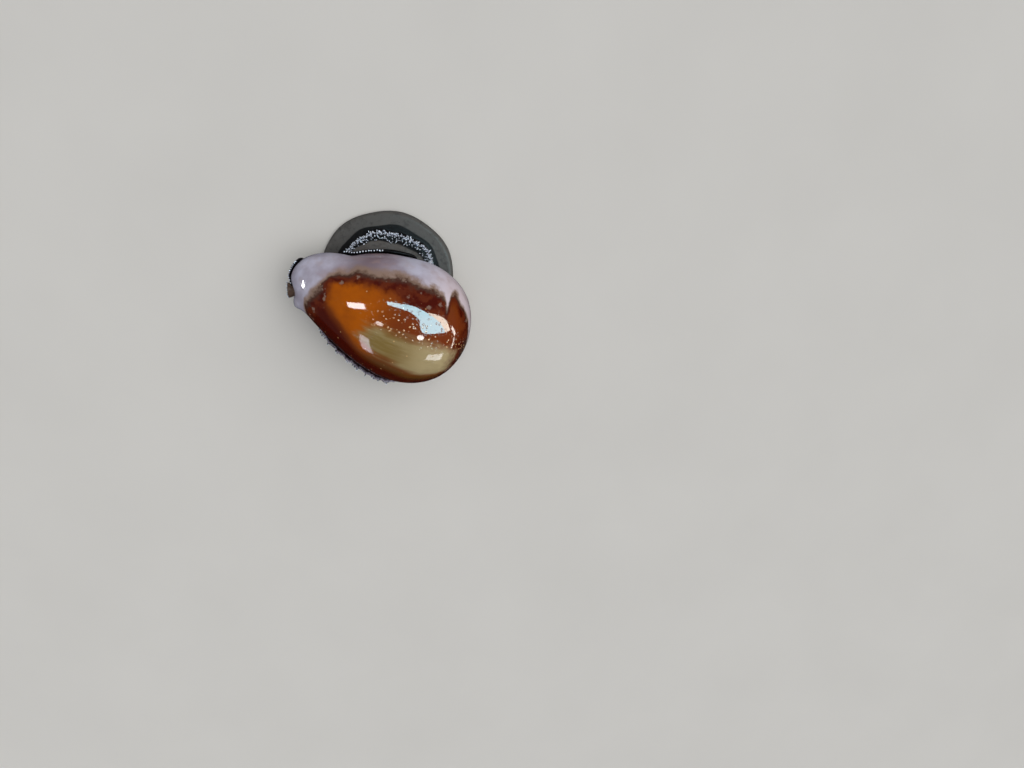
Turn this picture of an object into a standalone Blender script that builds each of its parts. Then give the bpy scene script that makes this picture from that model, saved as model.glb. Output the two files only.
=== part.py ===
# A chestnut cowry at life size, crawling with its mantle partly drawn back from the shell.
# The animal faces +X, its right side is -Y and its foot is flat on z = 0. The origin is the point
# of the sole below the middle of the shell. Shapes are worked out in millimetres and turned into
# metres where a mesh is made. The shell has a frame of its own, which tilts and lifts with it.

import math
import random

import bmesh
import bpy
import numpy as np

MM = 0.001
GAP = 0.3  # clearance between pieces that touch in life

# Shell
SHELL_LENGTH = 50.0
SHELL_HEIGHT = 23.06
RIGHT_WIDTH = 17.56  # from the long axis to the right margin, where the shell is widest
LEFT_WIDTH = 15.9
MARGIN_HEIGHT = 6.8  # of the widest line over the base
CREST_X = -7.46  # the shell is highest and widest here
SHELL_TILT = math.radians(6.0)  # the right side is held up
SHELL_LIFT = 4.2
END_HEIGHT_FRONT = 2.64  # of the dome over the widest line, at the blunt ends
END_HEIGHT_BACK = 4.0
END_DROP_FRONT = 3.8
END_DROP_BACK = 4.0
END_WIDTH_FRONT = 0.313  # as shares of the full width
END_WIDTH_BACK = 0.28
UPPER_POWER = 2.15  # of the superellipse sections
LOWER_POWER = 2.9
SHELL_RINGS = 46

# Aperture, a curved slot along the base that runs out through both ends
APERTURE_HALF_WIDTH = 2.1
APERTURE_DEPTH = 7.0
CANAL_Y = 2.7  # where the slot leaves the front end
CANAL_NOTCH = 1.5
TOOTH_LENGTH = 2.8
TOOTH_HEIGHT = 0.4
TOOTH_WIDTH = 0.8
TEETH_RIGHT = 20
TEETH_LEFT = 18
TEETH_SPAN = 38.0

# Foot
FOOT_CENTRE = (1.4, -8.8)
FOOT_LENGTH = 36.4
FOOT_WIDTH = 32.5
FOOT_YAW = 0.16
FOOT_RIM = 2.0  # thickness near the edge
FOOT_BACK = 2.55  # greatest thickness, under the mantle
NECK_HALF_WIDTH = 1.3
NECK_FRONT = 13.3
NECK_REAR = -13.0

# Mantle
MANTLE_THICKNESS = 1.1
MANTLE_CLEAR = 0.75  # below the base, which leaves room for the teeth
LOBE_CENTRE = (1.6, -9.3)
LOBE_REACH = (12.0, 11.5)
LOBE_EDGE_HEIGHT = 4.9
LOBE_TURN_FRONT = 22  # degrees round the lobe's centre, where its edge leaves the slot
LOBE_TURN_REAR = -202
LOBE_ROOT = 10.6  # half the length of its root along the slot
COLLAR_FLARE = 1.7  # how far the left lobe stands off the shell's margin
COLLAR_THICKNESS = 0.8
COLLAR_REAR = -16.5
COLLAR_FRONT = 18.0
FOLD_REAR = -5.0  # the fold of the right lobe that climbs to the shell's margin
FOLD_FRONT = 15.2
FOLD_THICKNESS = 0.85
FOLD_FOOT = -0.62  # levels on the shell's section: -1 is the base and 0 the widest line
FOLD_TOP = -0.06

# Siphon and the mantle's edge beside it, which lines the front of the shell
SIPHON_PATH = [(20.6, 2.9, 8.6), (22.4, 3.6, 8.5), (24.2, 4.4, 8.5)]
SIPHON_RADII = [1.3, 1.6, 2.1]
SIPHON_DEPTH = 1.6
SIPHON_WALL = 0.6
LIP_THICKNESS = 0.6
LIP_DROPS = (0.2, 0.9, 1.7, 2.5, 3.1)  # below the shell's widest line
LIP_START = 2.35
LIP_END = -5.0

# Papillae, sunk by ROOT into what carries them
ROOT = 0.6
PAPILLA_RADIUS = 0.3
PAPILLA_LENGTH = 1.15
LOBE_PAPILLAE = 30  # in each of two rows
FOLD_PAPILLAE = 18
COLLAR_PAPILLAE = 9  # in each of two rows
SIPHON_FRINGE = 12
LIP_FRINGE = 8
SEED = 17


def clear_scene():
    for thing in list(bpy.data.objects):
        bpy.data.objects.remove(thing, do_unlink=True)


def make_material(name, colour, roughness):
    material = bpy.data.materials.new(name)
    material.use_nodes = True
    shader = material.node_tree.nodes["Principled BSDF"]
    shader.inputs["Base Color"].default_value = (*colour, 1.0)
    shader.inputs["Roughness"].default_value = roughness
    shader.inputs["Metallic"].default_value = 0.0
    return material


def make_object(name, points, faces):
    """A mesh object from points in millimetres, with its faces turned outwards."""
    mesh = bpy.data.meshes.new(name)
    mesh.from_pydata((np.asarray(points) * MM).tolist(), [], faces)
    work = bmesh.new()
    work.from_mesh(mesh)
    bmesh.ops.recalc_face_normals(work, faces=work.faces)
    work.to_mesh(mesh)
    work.free()
    thing = bpy.data.objects.new(name, mesh)
    bpy.context.scene.collection.objects.link(thing)
    return thing


def lofted(name, rings, first_pole=None, last_pole=None):
    """A closed body from rings of equal counts. An end closes on its pole, or with one flat face."""
    count, around = len(rings), len(rings[0])
    points = np.concatenate(rings).tolist()
    faces = []
    for row in range(count - 1):
        for column in range(around):
            here, there = row * around + column, row * around + (column + 1) % around
            faces.append((here, there, there + around, here + around))
    for pole, start in ((first_pole, 0), (last_pole, (count - 1) * around)):
        ring = [start + column for column in range(around)]
        if pole is None:
            faces.append(tuple(ring))
            continue
        points.append(list(pole))
        for column in range(around):
            faces.append((ring[column], ring[(column + 1) % around], len(points) - 1))
    return make_object(name, points, faces)


def bake_modifiers(thing):
    graph = bpy.context.evaluated_depsgraph_get()
    mesh = bpy.data.meshes.new_from_object(thing.evaluated_get(graph), depsgraph=graph)
    thing.modifiers.clear()
    thing.data = mesh


def keep_largest(thing):
    """Leaves only the closed surface with the most faces."""
    work = bmesh.new()
    work.from_mesh(thing.data)
    unseen = set(work.faces)
    groups = []
    while unseen:
        group = set()
        edge_of_group = [unseen.pop()]
        while edge_of_group:
            face = edge_of_group.pop()
            group.add(face)
            for edge in face.edges:
                for other in edge.link_faces:
                    if other in unseen:
                        unseen.remove(other)
                        edge_of_group.append(other)
        groups.append(group)
    largest = max(groups, key=len)
    spare = [face for group in groups if group is not largest for face in group]
    bmesh.ops.delete(work, geom=spare, context="FACES")
    work.to_mesh(thing.data)
    work.free()


def combine(thing, others, operation, solver="EXACT"):
    """Joins others to the thing, or cuts them from it, and removes them."""
    group = bpy.data.collections.new("others")
    bpy.context.scene.collection.children.link(group)
    for other in others:
        group.objects.link(other)
    modifier = thing.modifiers.new("combine", "BOOLEAN")
    modifier.operation = operation
    modifier.solver = solver
    modifier.operand_type = "COLLECTION"
    modifier.collection = group
    bake_modifiers(thing)
    for other in others:
        bpy.data.objects.remove(other, do_unlink=True)
    bpy.data.collections.remove(group)
    keep_largest(thing)


def finish(thing, material):
    thing.data.materials.clear()
    thing.data.materials.append(material)
    thing.data.shade_smooth()
    thing.data.set_sharp_from_angle(angle=math.radians(40))


# Shell surface, in the shell's frame

HALF_LENGTH = SHELL_LENGTH / 2


def hump(x, at, spread):
    return np.exp(-(((x - at) / spread) ** 2))


def front_share(x):
    return np.clip((x - CREST_X) / (HALF_LENGTH - CREST_X), 0, 1)


def front_cap(x):
    return np.sqrt(1 - front_share(x) ** 14)


def along(x, front, back, front_power, front_curve, back_power, back_curve):
    """A size along the length: 1 at the crest, falling to blunt ends that round off to nothing."""
    ahead = front_share(x)
    behind = np.clip((CREST_X - x) / (HALF_LENGTH + CREST_X), 0, 1)
    front_part = (1 - front) * (1 - ahead**front_power) ** front_curve + front * front_cap(x)
    back_part = (1 - back) * (1 - behind**back_power) ** back_curve
    back_part = back_part + back * np.sqrt(1 - behind**8)
    return np.where(x >= CREST_X, front_part, back_part)


def plan_share(x):
    return along(x, END_WIDTH_FRONT, END_WIDTH_BACK, 1.655, 1.297, 2.1, 0.666)


def right_half(x):
    """Half width on the right, with the swelling behind the canal and the slight waist after it."""
    swell = 1.54 * front_share(x) ** 2 + 0.3 * hump(x, 21.8, 2.6) + 0.5 * hump(x, 18, 3)
    waist = 0.5 * hump(x, 11.8, 1.8) - 0.5 * hump(x, 4, 5)
    return RIGHT_WIDTH * plan_share(x) + (swell - waist) * front_cap(x)


def left_half(x):
    """Half width on the left, with the flange that stands out beside the canal."""
    flange = 3.1 * hump(x, 22.8, 3) - 1.54 * front_share(x) ** 2
    return LEFT_WIDTH * plan_share(x) + flange * front_cap(x)


def middle_height(x):
    return MARGIN_HEIGHT - (x / HALF_LENGTH) ** 2


def dome_height(x):
    full = SHELL_HEIGHT - MARGIN_HEIGHT
    return full * along(x, END_HEIGHT_FRONT / full, END_HEIGHT_BACK / full, 2, 0.8, 2.2, 0.62)


def base_drop(x):
    full = MARGIN_HEIGHT
    return full * along(x, END_DROP_FRONT / full, END_DROP_BACK / full, 2.6, 0.6, 2.6, 0.6)


def aperture_y(x):
    """The slot's centre line: near the middle, bending left towards both ends."""
    towards_front = np.clip(x / HALF_LENGTH, 0, 1) ** 2
    towards_back = np.clip(-x / HALF_LENGTH, 0, 1) ** 2
    return -1 + (CANAL_Y + 1) * towards_front + 3.4 * towards_back


def front_end(x, y, groove):
    """Moves points near the front end: skewed back on the left, notched at the canal."""
    ramp = np.clip((x - HALF_LENGTH + 7) / 7, 0, 1) ** 2
    skew = 0.03 * np.clip(y + 2.5, 0, None) ** 2
    notch = CANAL_NOTCH * hump(y, CANAL_Y, 2.1)
    tips = 0.4 * hump(y, 7, 1.2) - 0.1 * hump(y, -1.5, 1.6)
    return x - (skew + notch - tips + 2.2 * groove) * ramp


def base_height(x, y):
    """Height of the base without its slot."""
    half = np.where(y > 0, left_half(x), right_half(x))
    share = np.clip(np.abs(y) / np.maximum(half, 1e-6), 0, 1)
    return middle_height(x) - base_drop(x) * (1 - share**LOWER_POWER) ** (1 / LOWER_POWER)


def slot_at(x):
    """Centre, half width and depth of the slot, made smaller where the ends close."""
    left, right = left_half(x), right_half(x)
    centre = np.clip(aperture_y(x), -0.35 * right, 0.42 * left)
    half = np.minimum(APERTURE_HALF_WIDTH, 0.5 * np.minimum(0.85 * left - centre, 0.85 * right + centre))
    depth = np.minimum(APERTURE_DEPTH, 0.55 * (dome_height(x) + base_drop(x)))
    return centre, np.maximum(half, 1e-4), depth


def shell_ring(x):
    """One closed section: over the dome from left to right, then back under the base and slot."""
    turn = np.linspace(0, math.pi, 24)
    half = np.where(np.cos(turn) > 0, left_half(x), right_half(x))
    dome_y = half * np.sign(np.cos(turn)) * np.abs(np.cos(turn)) ** (2 / UPPER_POWER)
    dome_z = middle_height(x) + dome_height(x) * np.abs(np.sin(turn)) ** (2 / UPPER_POWER)
    centre, slot, depth = slot_at(x)
    inwards = 1 - np.cos(np.linspace(0, math.pi / 2, 10)[1:-1]) ** (2 / LOWER_POWER)
    across = np.array([-1.5, -1.22, -1.05, -0.92, -0.78, -0.5, 0, 0.5, 0.78, 0.92, 1.05, 1.22, 1.5])
    right_y = -right_half(x) + (centre - 1.5 * slot + right_half(x)) * inwards
    left_y = left_half(x) + (centre + 1.5 * slot - left_half(x)) * inwards[::-1]
    base_y = np.concatenate([right_y, centre + across * slot, left_y])
    groove = np.exp(-np.abs((base_y - centre) / slot) ** 6)
    base_z = base_height(x, base_y) + depth * groove
    y = np.concatenate([dome_y, base_y])
    z = np.concatenate([dome_z, base_z])
    return np.stack([front_end(x, y, np.concatenate([0 * dome_y, groove])), y, z], -1)


def to_floor(points):
    """From the shell's frame to the model's: the right side raised, the whole lifted."""
    points = np.asarray(points, float)
    c, s = math.cos(SHELL_TILT), math.sin(SHELL_TILT)
    y = c * points[..., 1] + s * points[..., 2]
    z = -s * points[..., 1] + c * points[..., 2] + SHELL_LIFT
    return np.stack([points[..., 0], y, z], -1)


def underside(x, y):
    """Height over the floor of the tilted shell's base, slot left out, above a point of the floor."""
    c, s = math.cos(SHELL_TILT), math.sin(SHELL_TILT)
    own_y = y
    for _ in range(6):
        own_z = base_height(x, own_y)
        own_y = (y - s * own_z) / c
    return -s * own_y + c * own_z + SHELL_LIFT


def make_tooth(x, side):
    """A tapered ridge across the lip of the slot, its root sunk in the shell."""
    centre, slot, _ = slot_at(x)
    rings = []
    for out, size in ((1.0 * slot, 1.0), (1.35 * slot, 1.0), (1.35 * slot + TOOTH_LENGTH, 0.35)):
        y = centre + side * out
        surface = base_height(x, y)
        wide, high = TOOTH_WIDTH * size / 2, TOOTH_HEIGHT * size
        rings.append(
            np.array(
                [
                    (x - wide, y, surface + 0.7),
                    (x + wide, y, surface + 0.7),
                    (x + 0.5 * wide, y, surface - high),
                    (x - 0.5 * wide, y, surface - high),
                ]
            )
        )
    return lofted("tooth", [to_floor(ring) for ring in rings])


def make_shell_body(name):
    share = np.linspace(-1, 1, SHELL_RINGS + 2)[1:-1]
    forward = CREST_X + (HALF_LENGTH - CREST_X) * np.sin(share * math.pi / 2)
    rearward = CREST_X + (HALF_LENGTH + CREST_X) * np.sin(share * math.pi / 2)
    stations = np.where(share > 0, forward, rearward)
    rings = [to_floor(shell_ring(x)) for x in stations]
    poles = []
    for x in (-HALF_LENGTH, HALF_LENGTH):
        height = float(middle_height(x))
        poles.append(to_floor((float(front_end(x, 0.0, 0.0)), 0.0, height)))
    return lofted(name, rings, poles[0], poles[1])


def make_shell_clearance():
    """The shell's body swollen by the gap, which cuts a neighbour clear of it."""
    swollen = make_shell_body("clearance")
    push = swollen.modifiers.new("push", "DISPLACE")
    push.strength = 1.1 * GAP * MM
    push.mid_level = 0
    bake_modifiers(swollen)
    return swollen


def make_shell():
    shell = make_shell_body("shell")
    teeth = []
    for count, side in ((TEETH_RIGHT, -1), (TEETH_LEFT, 1)):
        for number in range(count):
            teeth.append(make_tooth(TEETH_SPAN * (number / (count - 1) - 0.5), side))
    combine(shell, teeth, "UNION")
    return shell


# Foot


def foot_share(x, y):
    """Distance from the foot's centre as a share of its outline in that direction."""
    dx, dy = x - FOOT_CENTRE[0], y - FOOT_CENTRE[1]
    c, s = math.cos(FOOT_YAW), math.sin(FOOT_YAW)
    return np.hypot((c * dx + s * dy) / (FOOT_LENGTH / 2), (c * dy - s * dx) / (FOOT_WIDTH / 2))


def foot_point(turn, share):
    """A point of the sole's plan, with a slight wave along the edge."""
    wave = 1 + share**2 * (0.012 * np.sin(3 * turn + 0.7) + 0.008 * np.sin(7 * turn))
    along_axis = FOOT_LENGTH / 2 * share * wave * np.cos(turn)
    across_axis = FOOT_WIDTH / 2 * share * wave * np.sin(turn)
    c, s = math.cos(FOOT_YAW), math.sin(FOOT_YAW)
    x = FOOT_CENTRE[0] + c * along_axis - s * across_axis
    y = FOOT_CENTRE[1] + s * along_axis + c * across_axis
    return x, y


def foot_ceiling(x, y):
    """The highest that the foot may reach below the mantle and the shell."""
    return underside(x, y) - MANTLE_CLEAR - MANTLE_THICKNESS - 1.3 * GAP


def foot_top(x, y, share):
    profile = FOOT_RIM + (FOOT_BACK - FOOT_RIM) * np.clip((0.9 - share) / 0.3, 0, 1)
    return np.minimum(profile, foot_ceiling(x, y))


def make_foot():
    turn = np.linspace(0, 2 * math.pi, 60, endpoint=False)
    rings = []
    for share in (0.15, 0.3, 0.45, 0.58, 0.7, 0.78, 0.86, 0.92):
        x, y = foot_point(turn, share)
        rings.append(np.stack([x, y, foot_top(x, y, share)], -1))
    edge_x, edge_y = foot_point(turn, 0.92)
    edge = foot_top(edge_x, edge_y, 0.92)
    for share, height in ((0.96, 0.86), (0.985, 0.6), (1.0, 0.3), (0.99, 0.0)):
        x, y = foot_point(turn, share)
        rings.append(np.stack([x, y, edge * height], -1))
    centre = (*FOOT_CENTRE, float(foot_top(*FOOT_CENTRE, 0.0)))
    foot = lofted("foot", rings, centre, None)
    combine(foot, [make_neck()], "UNION")
    return foot


def make_neck():
    """The flesh that rises from the foot into the slot."""
    rings = []
    for x in np.linspace(NECK_REAR, NECK_FRONT, 22):
        end = math.sqrt(max(0.0, 1 - abs((2 * x - NECK_FRONT - NECK_REAR) / (NECK_FRONT - NECK_REAR)) ** 6))
        wide = NECK_HALF_WIDTH * (0.55 + 0.45 * end)
        centre = float(aperture_y(x))
        top = float(base_height(x, centre)) + APERTURE_DEPTH * (0.45 + 0.25 * end)
        levels = ((-3.2, 1.0), (-0.5, 1.0), (2.0, 0.95), (top - 1.2, 0.8), (top, 0.4))
        right = [(x, centre - wide * size, z) for z, size in levels]
        left = [(x, centre + wide * size, z) for z, size in reversed(levels)]
        rings.append(to_floor(right + left))
    return lofted("neck", rings)


# Mantle


def lobe_edge(turn):
    """Plan of the right lobe's free edge, an oval with a few soft waves."""
    wave = 1 + 0.05 * np.sin(2 * turn + 0.6) + 0.022 * np.sin(5 * turn) + 0.012 * np.sin(11 * turn)
    x = LOBE_CENTRE[0] + LOBE_REACH[0] * wave * np.cos(turn)
    y = LOBE_CENTRE[1] + LOBE_REACH[1] * wave * np.sin(turn)
    return x, y


def lobe_root(part_way):
    """Where the right lobe leaves the slot, from its front to its rear."""
    x = LOBE_CENTRE[0] + LOBE_ROOT * math.cos(math.pi * part_way)
    return x, float(aperture_y(x)) - NECK_HALF_WIDTH - 2.3 * GAP


def lobe_top(x, y, share):
    """Top of the right lobe: against the base near the slot, then a low dome out to its edge."""
    dome = LOBE_EDGE_HEIGHT + 1.9 * (1 - np.clip((share - 0.45) / 0.55, 0, 1) ** 2)
    roll = 0.5 * hump(share, 0.93, 0.07)
    return np.minimum(dome + roll, underside(x, y) - MANTLE_CLEAR)


def make_right_lobe():
    """The lobe spread over the foot. Each ring runs out along its top and back below."""
    share = np.array([0, 0.2, 0.38, 0.52, 0.64, 0.75, 0.84, 0.91, 0.965])
    rings = []
    for part_way in np.linspace(0, 1, 46):
        edge_x, edge_y = lobe_edge(math.radians(LOBE_TURN_FRONT + (LOBE_TURN_REAR - LOBE_TURN_FRONT) * part_way))
        root_x, root_y = lobe_root(part_way)
        x = root_x + (edge_x - root_x) * share
        y = root_y + (edge_y - root_y) * share
        top = lobe_top(x, y, share)
        thick = MANTLE_THICKNESS + 0.9 * np.clip((share - 0.6) / 0.3, 0, 1)
        bottom = np.maximum(top - thick, foot_top(x, y, foot_share(x, y)) + 1.1 * GAP)
        rim = (edge_x, edge_y, 0.5 * (top[-1] + bottom[-1]))
        upper = np.stack([x, y, top], -1)
        lower = np.stack([x, y, bottom], -1)[::-1]
        rings.append(np.concatenate([upper, [rim], lower]))
    return lofted("mantle_right", rings)


def section(x, level, side):
    """A point and the outward direction of the shell's section: level -1 base, 0 margin, 1 crest."""

    def point(at):
        upper = np.asarray(at) >= 0
        bend = np.abs(at) * math.pi / 2
        power = np.where(upper, 2 / UPPER_POWER, 2 / LOWER_POWER)
        half = left_half(x) if side > 0 else right_half(x)
        y = side * half * np.cos(bend) ** power
        height = np.where(upper, dome_height(x), -base_drop(x)) * np.sin(bend) ** power
        return np.stack([y, middle_height(x) + height], -1)

    here = point(level)
    step = 0.004
    slope = point(level + step) - point(level - step)
    out = side * np.stack([slope[..., 1], -slope[..., 0]], -1)
    return here, out / np.linalg.norm(out, axis=-1, keepdims=True)


def wrap_ring(x, levels, side, stand_off, thick):
    """A ring that lies against the shell: inner points off the surface, outer ones beyond them."""
    here, out = section(x, levels, side)
    inner = here + out * stand_off[:, None]
    outer = here + out * (stand_off + thick)[:, None]
    ring = np.concatenate([inner, outer[::-1]])
    return to_floor(np.concatenate([np.full((len(ring), 1), x), ring], axis=1))


def fold_reach(x):
    """How far up the fold climbs, as a share, less towards its ends."""
    middle, half = 0.5 * (FOLD_REAR + FOLD_FRONT), 0.5 * (FOLD_FRONT - FOLD_REAR)
    return math.sqrt(max(0.0, 1 - (0.97 * (x - middle) / half) ** 4))


def make_margin_fold():
    """The fold of the right lobe that climbs to the shell's margin."""
    rings = []
    for x in np.linspace(FOLD_REAR, FOLD_FRONT, 20):
        end = fold_reach(x)
        levels = np.linspace(FOLD_FOOT, FOLD_FOOT + (FOLD_TOP - FOLD_FOOT) * end, 9)
        stand_off = np.full(9, GAP + 0.1)
        thick = np.full(9, FOLD_THICKNESS)
        thick[-1] = 0.5 * FOLD_THICKNESS
        rings.append(wrap_ring(x, levels, -1, stand_off, thick))
    return lofted("fold", rings)


def collar_line(x, share):
    """Levels and stand-off of the left lobe at x, from its root by the slot to its free edge."""
    middle, half = 0.5 * (COLLAR_REAR + COLLAR_FRONT), 0.5 * (COLLAR_FRONT - COLLAR_REAR)
    reach = math.sqrt(max(0.0, 1 - (0.998 * abs(x - middle) / half) ** 5))
    root = (float(aperture_y(x)) + NECK_HALF_WIDTH + 2.3 * GAP) / float(left_half(x))
    root_level = -math.acos(min(0.98, root) ** (LOWER_POWER / 2)) * 2 / math.pi
    top_level = root_level + 0.05 + (0.02 - root_level) * reach
    flare = COLLAR_FLARE * reach * np.clip((share - 0.55) / 0.45, 0, 1) ** 1.6
    near_slot = np.clip(1 - share / 0.35, 0, 1)
    stand_off = GAP + 0.08 + (MANTLE_CLEAR - GAP) * near_slot + flare
    return root_level + (top_level - root_level) * share, stand_off


def make_left_lobe():
    """The collar on the left: from the slot under the base, then up round the margin, flared."""
    share = np.linspace(0, 1, 12) ** 0.8
    thick = np.full(12, COLLAR_THICKNESS)
    thick[-1] = 0.5 * COLLAR_THICKNESS
    rings = []
    for x in np.linspace(COLLAR_REAR, COLLAR_FRONT, 32):
        levels, stand_off = collar_line(x, share)
        rings.append(wrap_ring(x, levels, 1, stand_off, thick))
    return lofted("mantle_left", rings)


# Papillae


def make_papilla(at, direction, radius, length):
    """A blunt cone that stands on a point of the mantle, its root sunk below it."""
    at, direction = np.asarray(at, float), np.asarray(direction, float)
    direction = direction / np.linalg.norm(direction)
    rings = []
    for out, size in ((-ROOT, 1.0), (0.55 * length, 0.8)):
        rings.append(circle(at + direction * out, direction, radius * size, 5, 1.0))
    return lofted("papilla", rings, None, at + direction * length)


def lobe_papillae():
    """Two rows along the right lobe's free edge, where it isn't below the shell."""
    found = []
    for share, lean in ((0.93, 1.0), (0.79, 0.45)):
        for part_way in (np.arange(LOBE_PAPILLAE) + 0.5 * (share < 0.9)) / LOBE_PAPILLAE:
            part_way += random.uniform(-0.006, 0.006)
            turn = math.radians(LOBE_TURN_FRONT + (LOBE_TURN_REAR - LOBE_TURN_FRONT) * part_way)
            edge = np.array(lobe_edge(turn))
            root_x, root_y = lobe_root(part_way)
            x, y = np.array([root_x, root_y]) * (1 - share) + edge * share
            top = float(lobe_top(x, y, share))
            length = PAPILLA_LENGTH * random.uniform(0.8, 1.15)
            if float(underside(x, y)) - top < length + 2 * GAP:
                continue
            outwards = (lean * math.cos(turn), lean * math.sin(turn), 1.0)
            found.append(make_papilla((x, y, top), outwards, PAPILLA_RADIUS, length))
    return found


def shell_point(x, level, side, off):
    """A point off the shell, and the direction away from it there, in the model's frame."""
    here, out = section(x, np.array([level]), side)
    points = np.array([(x, *here[0]), (x, *(here[0] + out[0] * off))])
    foot, point = to_floor(points)
    return point, (point - foot) / np.linalg.norm(point - foot)


def fold_papillae():
    """Beads along the top of the fold on the right margin."""
    found = []
    for x in np.linspace(FOLD_REAR + 2.2, FOLD_FRONT - 1.6, FOLD_PAPILLAE):
        level = FOLD_FOOT + (FOLD_TOP - FOLD_FOOT) * fold_reach(x)
        point, out = shell_point(x, level, -1, GAP + 0.1 + 0.55 * FOLD_THICKNESS)
        length = 0.55 * random.uniform(0.8, 1.2)
        found.append(make_papilla(point, out * 0.5 + (0, 0, 1), 0.9 * PAPILLA_RADIUS, length))
    return found


def collar_papillae():
    """Two rows on the outer face of the left lobe, below its free edge."""
    found = []
    for share in (0.93, 0.8):
        for x in np.linspace(COLLAR_REAR + 4, COLLAR_FRONT - 4, COLLAR_PAPILLAE):
            x += 1.2 * (share < 0.9) + random.uniform(-0.3, 0.3)
            level, stand_off = collar_line(x, share)
            point, out = shell_point(x, float(level), 1, float(stand_off) + 0.8 * COLLAR_THICKNESS)
            length = 0.7 * PAPILLA_LENGTH * random.uniform(0.8, 1.2)
            found.append(make_papilla(point, out + (0, 0, 0.4), 0.95 * PAPILLA_RADIUS, length))
    return found


# Front end


def tube(name, path, radii, sides=14, squash=1.0, hollow=None):
    """A tube along a path, flat where it starts. hollow sinks its last end: (depth, wall)."""
    path, radii = np.asarray(path, float), np.asarray(radii, float)
    stations = np.linspace(0, len(path) - 1, 5 * (len(path) - 1) + 1)
    centres = np.stack([smooth_through(path[:, axis], stations) for axis in range(3)], -1)
    radius = smooth_through(radii, stations)
    ahead = np.gradient(centres, axis=0)
    ahead /= np.linalg.norm(ahead, axis=1, keepdims=True)
    rings = []
    for centre, direction, size in zip(centres, ahead, radius):
        rings.append(circle(centre, direction, size, sides, squash))
    first = None
    last = centres[-1] + ahead[-1] * 0.8 * radius[-1]
    if hollow:
        depth, wall = hollow
        for back, size in ((-0.15, 0.9), (0.0, 1 - wall / radius[-1]), (depth, 0.8 - wall / radius[-1])):
            rings.append(circle(centres[-1] - ahead[-1] * back, ahead[-1], radius[-1] * size, sides, squash))
        last = centres[-1] - ahead[-1] * (depth + 0.2)
    else:
        for out, size in ((0.35, 0.92), (0.62, 0.72)):
            centre = centres[-1] + ahead[-1] * out * radius[-1]
            rings.append(circle(centre, ahead[-1], radius[-1] * size, sides, squash))
    return lofted(name, rings, first, last)


def smooth_through(values, at):
    """Catmull-Rom curve through the values, read at fractional places along them."""
    padded = np.concatenate([[2 * values[0] - values[1]], values, [2 * values[-1] - values[-2]]])
    index = np.minimum(at.astype(int), len(values) - 2)
    t = at - index
    a, b, c, d = (padded[index + k] for k in range(4))
    return 0.5 * (2 * b + (c - a) * t + (2 * a - 5 * b + 4 * c - d) * t**2 + (3 * b - a - 3 * c + d) * t**3)


def circle(centre, direction, radius, sides, squash):
    side = np.cross(direction, (0, 0, 1))
    side /= np.linalg.norm(side)
    above = np.cross(side, direction)
    turn = np.linspace(0, 2 * math.pi, sides, endpoint=False)[:, None]
    return centre + radius * (np.cos(turn) * side + squash * np.sin(turn) * above)


HEAD_PATH = [(13.75, -0.2, 3.25), (16.6, 0.3, 3.3), (19.4, 0.9, 2.9), (21.8, 1.3, 2.4)]
HEAD_RADII = [1.5, 1.9, 2.35, 1.9]
EYE_RADIUS = 0.42
TENTACLES = {
    "left": [(19.3, 3.5, 3.1), (20.0, 6.0, 2.7), (18.4, 8.6, 2.3), (15.4, 10.2, 2.1)],
    "right": [(19.6, -1.9, 3.1), (20.6, -3.7, 3.0), (19.9, -5.5, 3.0), (18.2, -6.6, 3.1)],
}
TENTACLE_RADII = [0.85, 0.62, 0.5, 0.3]


def make_head():
    """The snout, tucked under the front of the shell, with its mouth as a slit below the tip."""
    head = tube("head", HEAD_PATH, HEAD_RADII, sides=20, squash=0.72)
    slit = [
        np.array([(x, 1.35 - 0.14, z), (x, 1.35 + 0.14, z), (x, 1.35 + 0.14, z + 1.7), (x, 1.35 - 0.14, z + 1.7)])
        for x, z in ((21.9, 0.2), (24.2, 0.8))
    ]
    combine(head, [lofted("slit", slit)], "DIFFERENCE")
    return head


def make_ball(name, centre, radius, cuts=2):
    work = bmesh.new()
    bmesh.ops.create_icosphere(work, subdivisions=cuts, radius=radius * MM)
    bmesh.ops.translate(work, verts=work.verts, vec=[value * MM for value in centre])
    mesh = bpy.data.meshes.new(name)
    work.to_mesh(mesh)
    work.free()
    ball = bpy.data.objects.new(name, mesh)
    bpy.context.scene.collection.objects.link(ball)
    return ball


def eye_place(side):
    """On the front of the tentacle's swollen base."""
    root = np.array(TENTACLES[side][0], float)
    return root + np.array([0.95, 0.35 if side == "left" else -0.35, 0.55])


def make_tentacle(side):
    name = "tentacle_" + side
    tentacle = tube(name, TENTACLES[side], TENTACLE_RADII, sides=9)
    root = np.array(TENTACLES[side][0], float)
    swelling = make_ball("swelling", root + (eye_place(side) - root) * 0.45, 1.0)
    combine(tentacle, [swelling], "UNION")
    socket = make_ball("socket", eye_place(side), EYE_RADIUS + 0.7 * GAP)
    near_head = tube("near head", HEAD_PATH, [value + GAP / 0.72 for value in HEAD_RADII], 20, 0.72)
    combine(tentacle, [socket, near_head], "DIFFERENCE")
    return tentacle


def front_reach(y, drop):
    """How far forward the shell reaches, at a drop below its widest line."""
    x = HALF_LENGTH - 4 * np.linspace(1, 0, 120)[:-1] ** 3
    half = right_half(x) if y < 0 else left_half(x)
    share = np.clip(abs(y) / half, 0, 1)
    depth = base_drop(x) * (1 - share**LOWER_POWER) ** (1 / LOWER_POWER)
    return float(front_end(np.interp(drop, depth[::-1], x[::-1]), y, 0.0))


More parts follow.
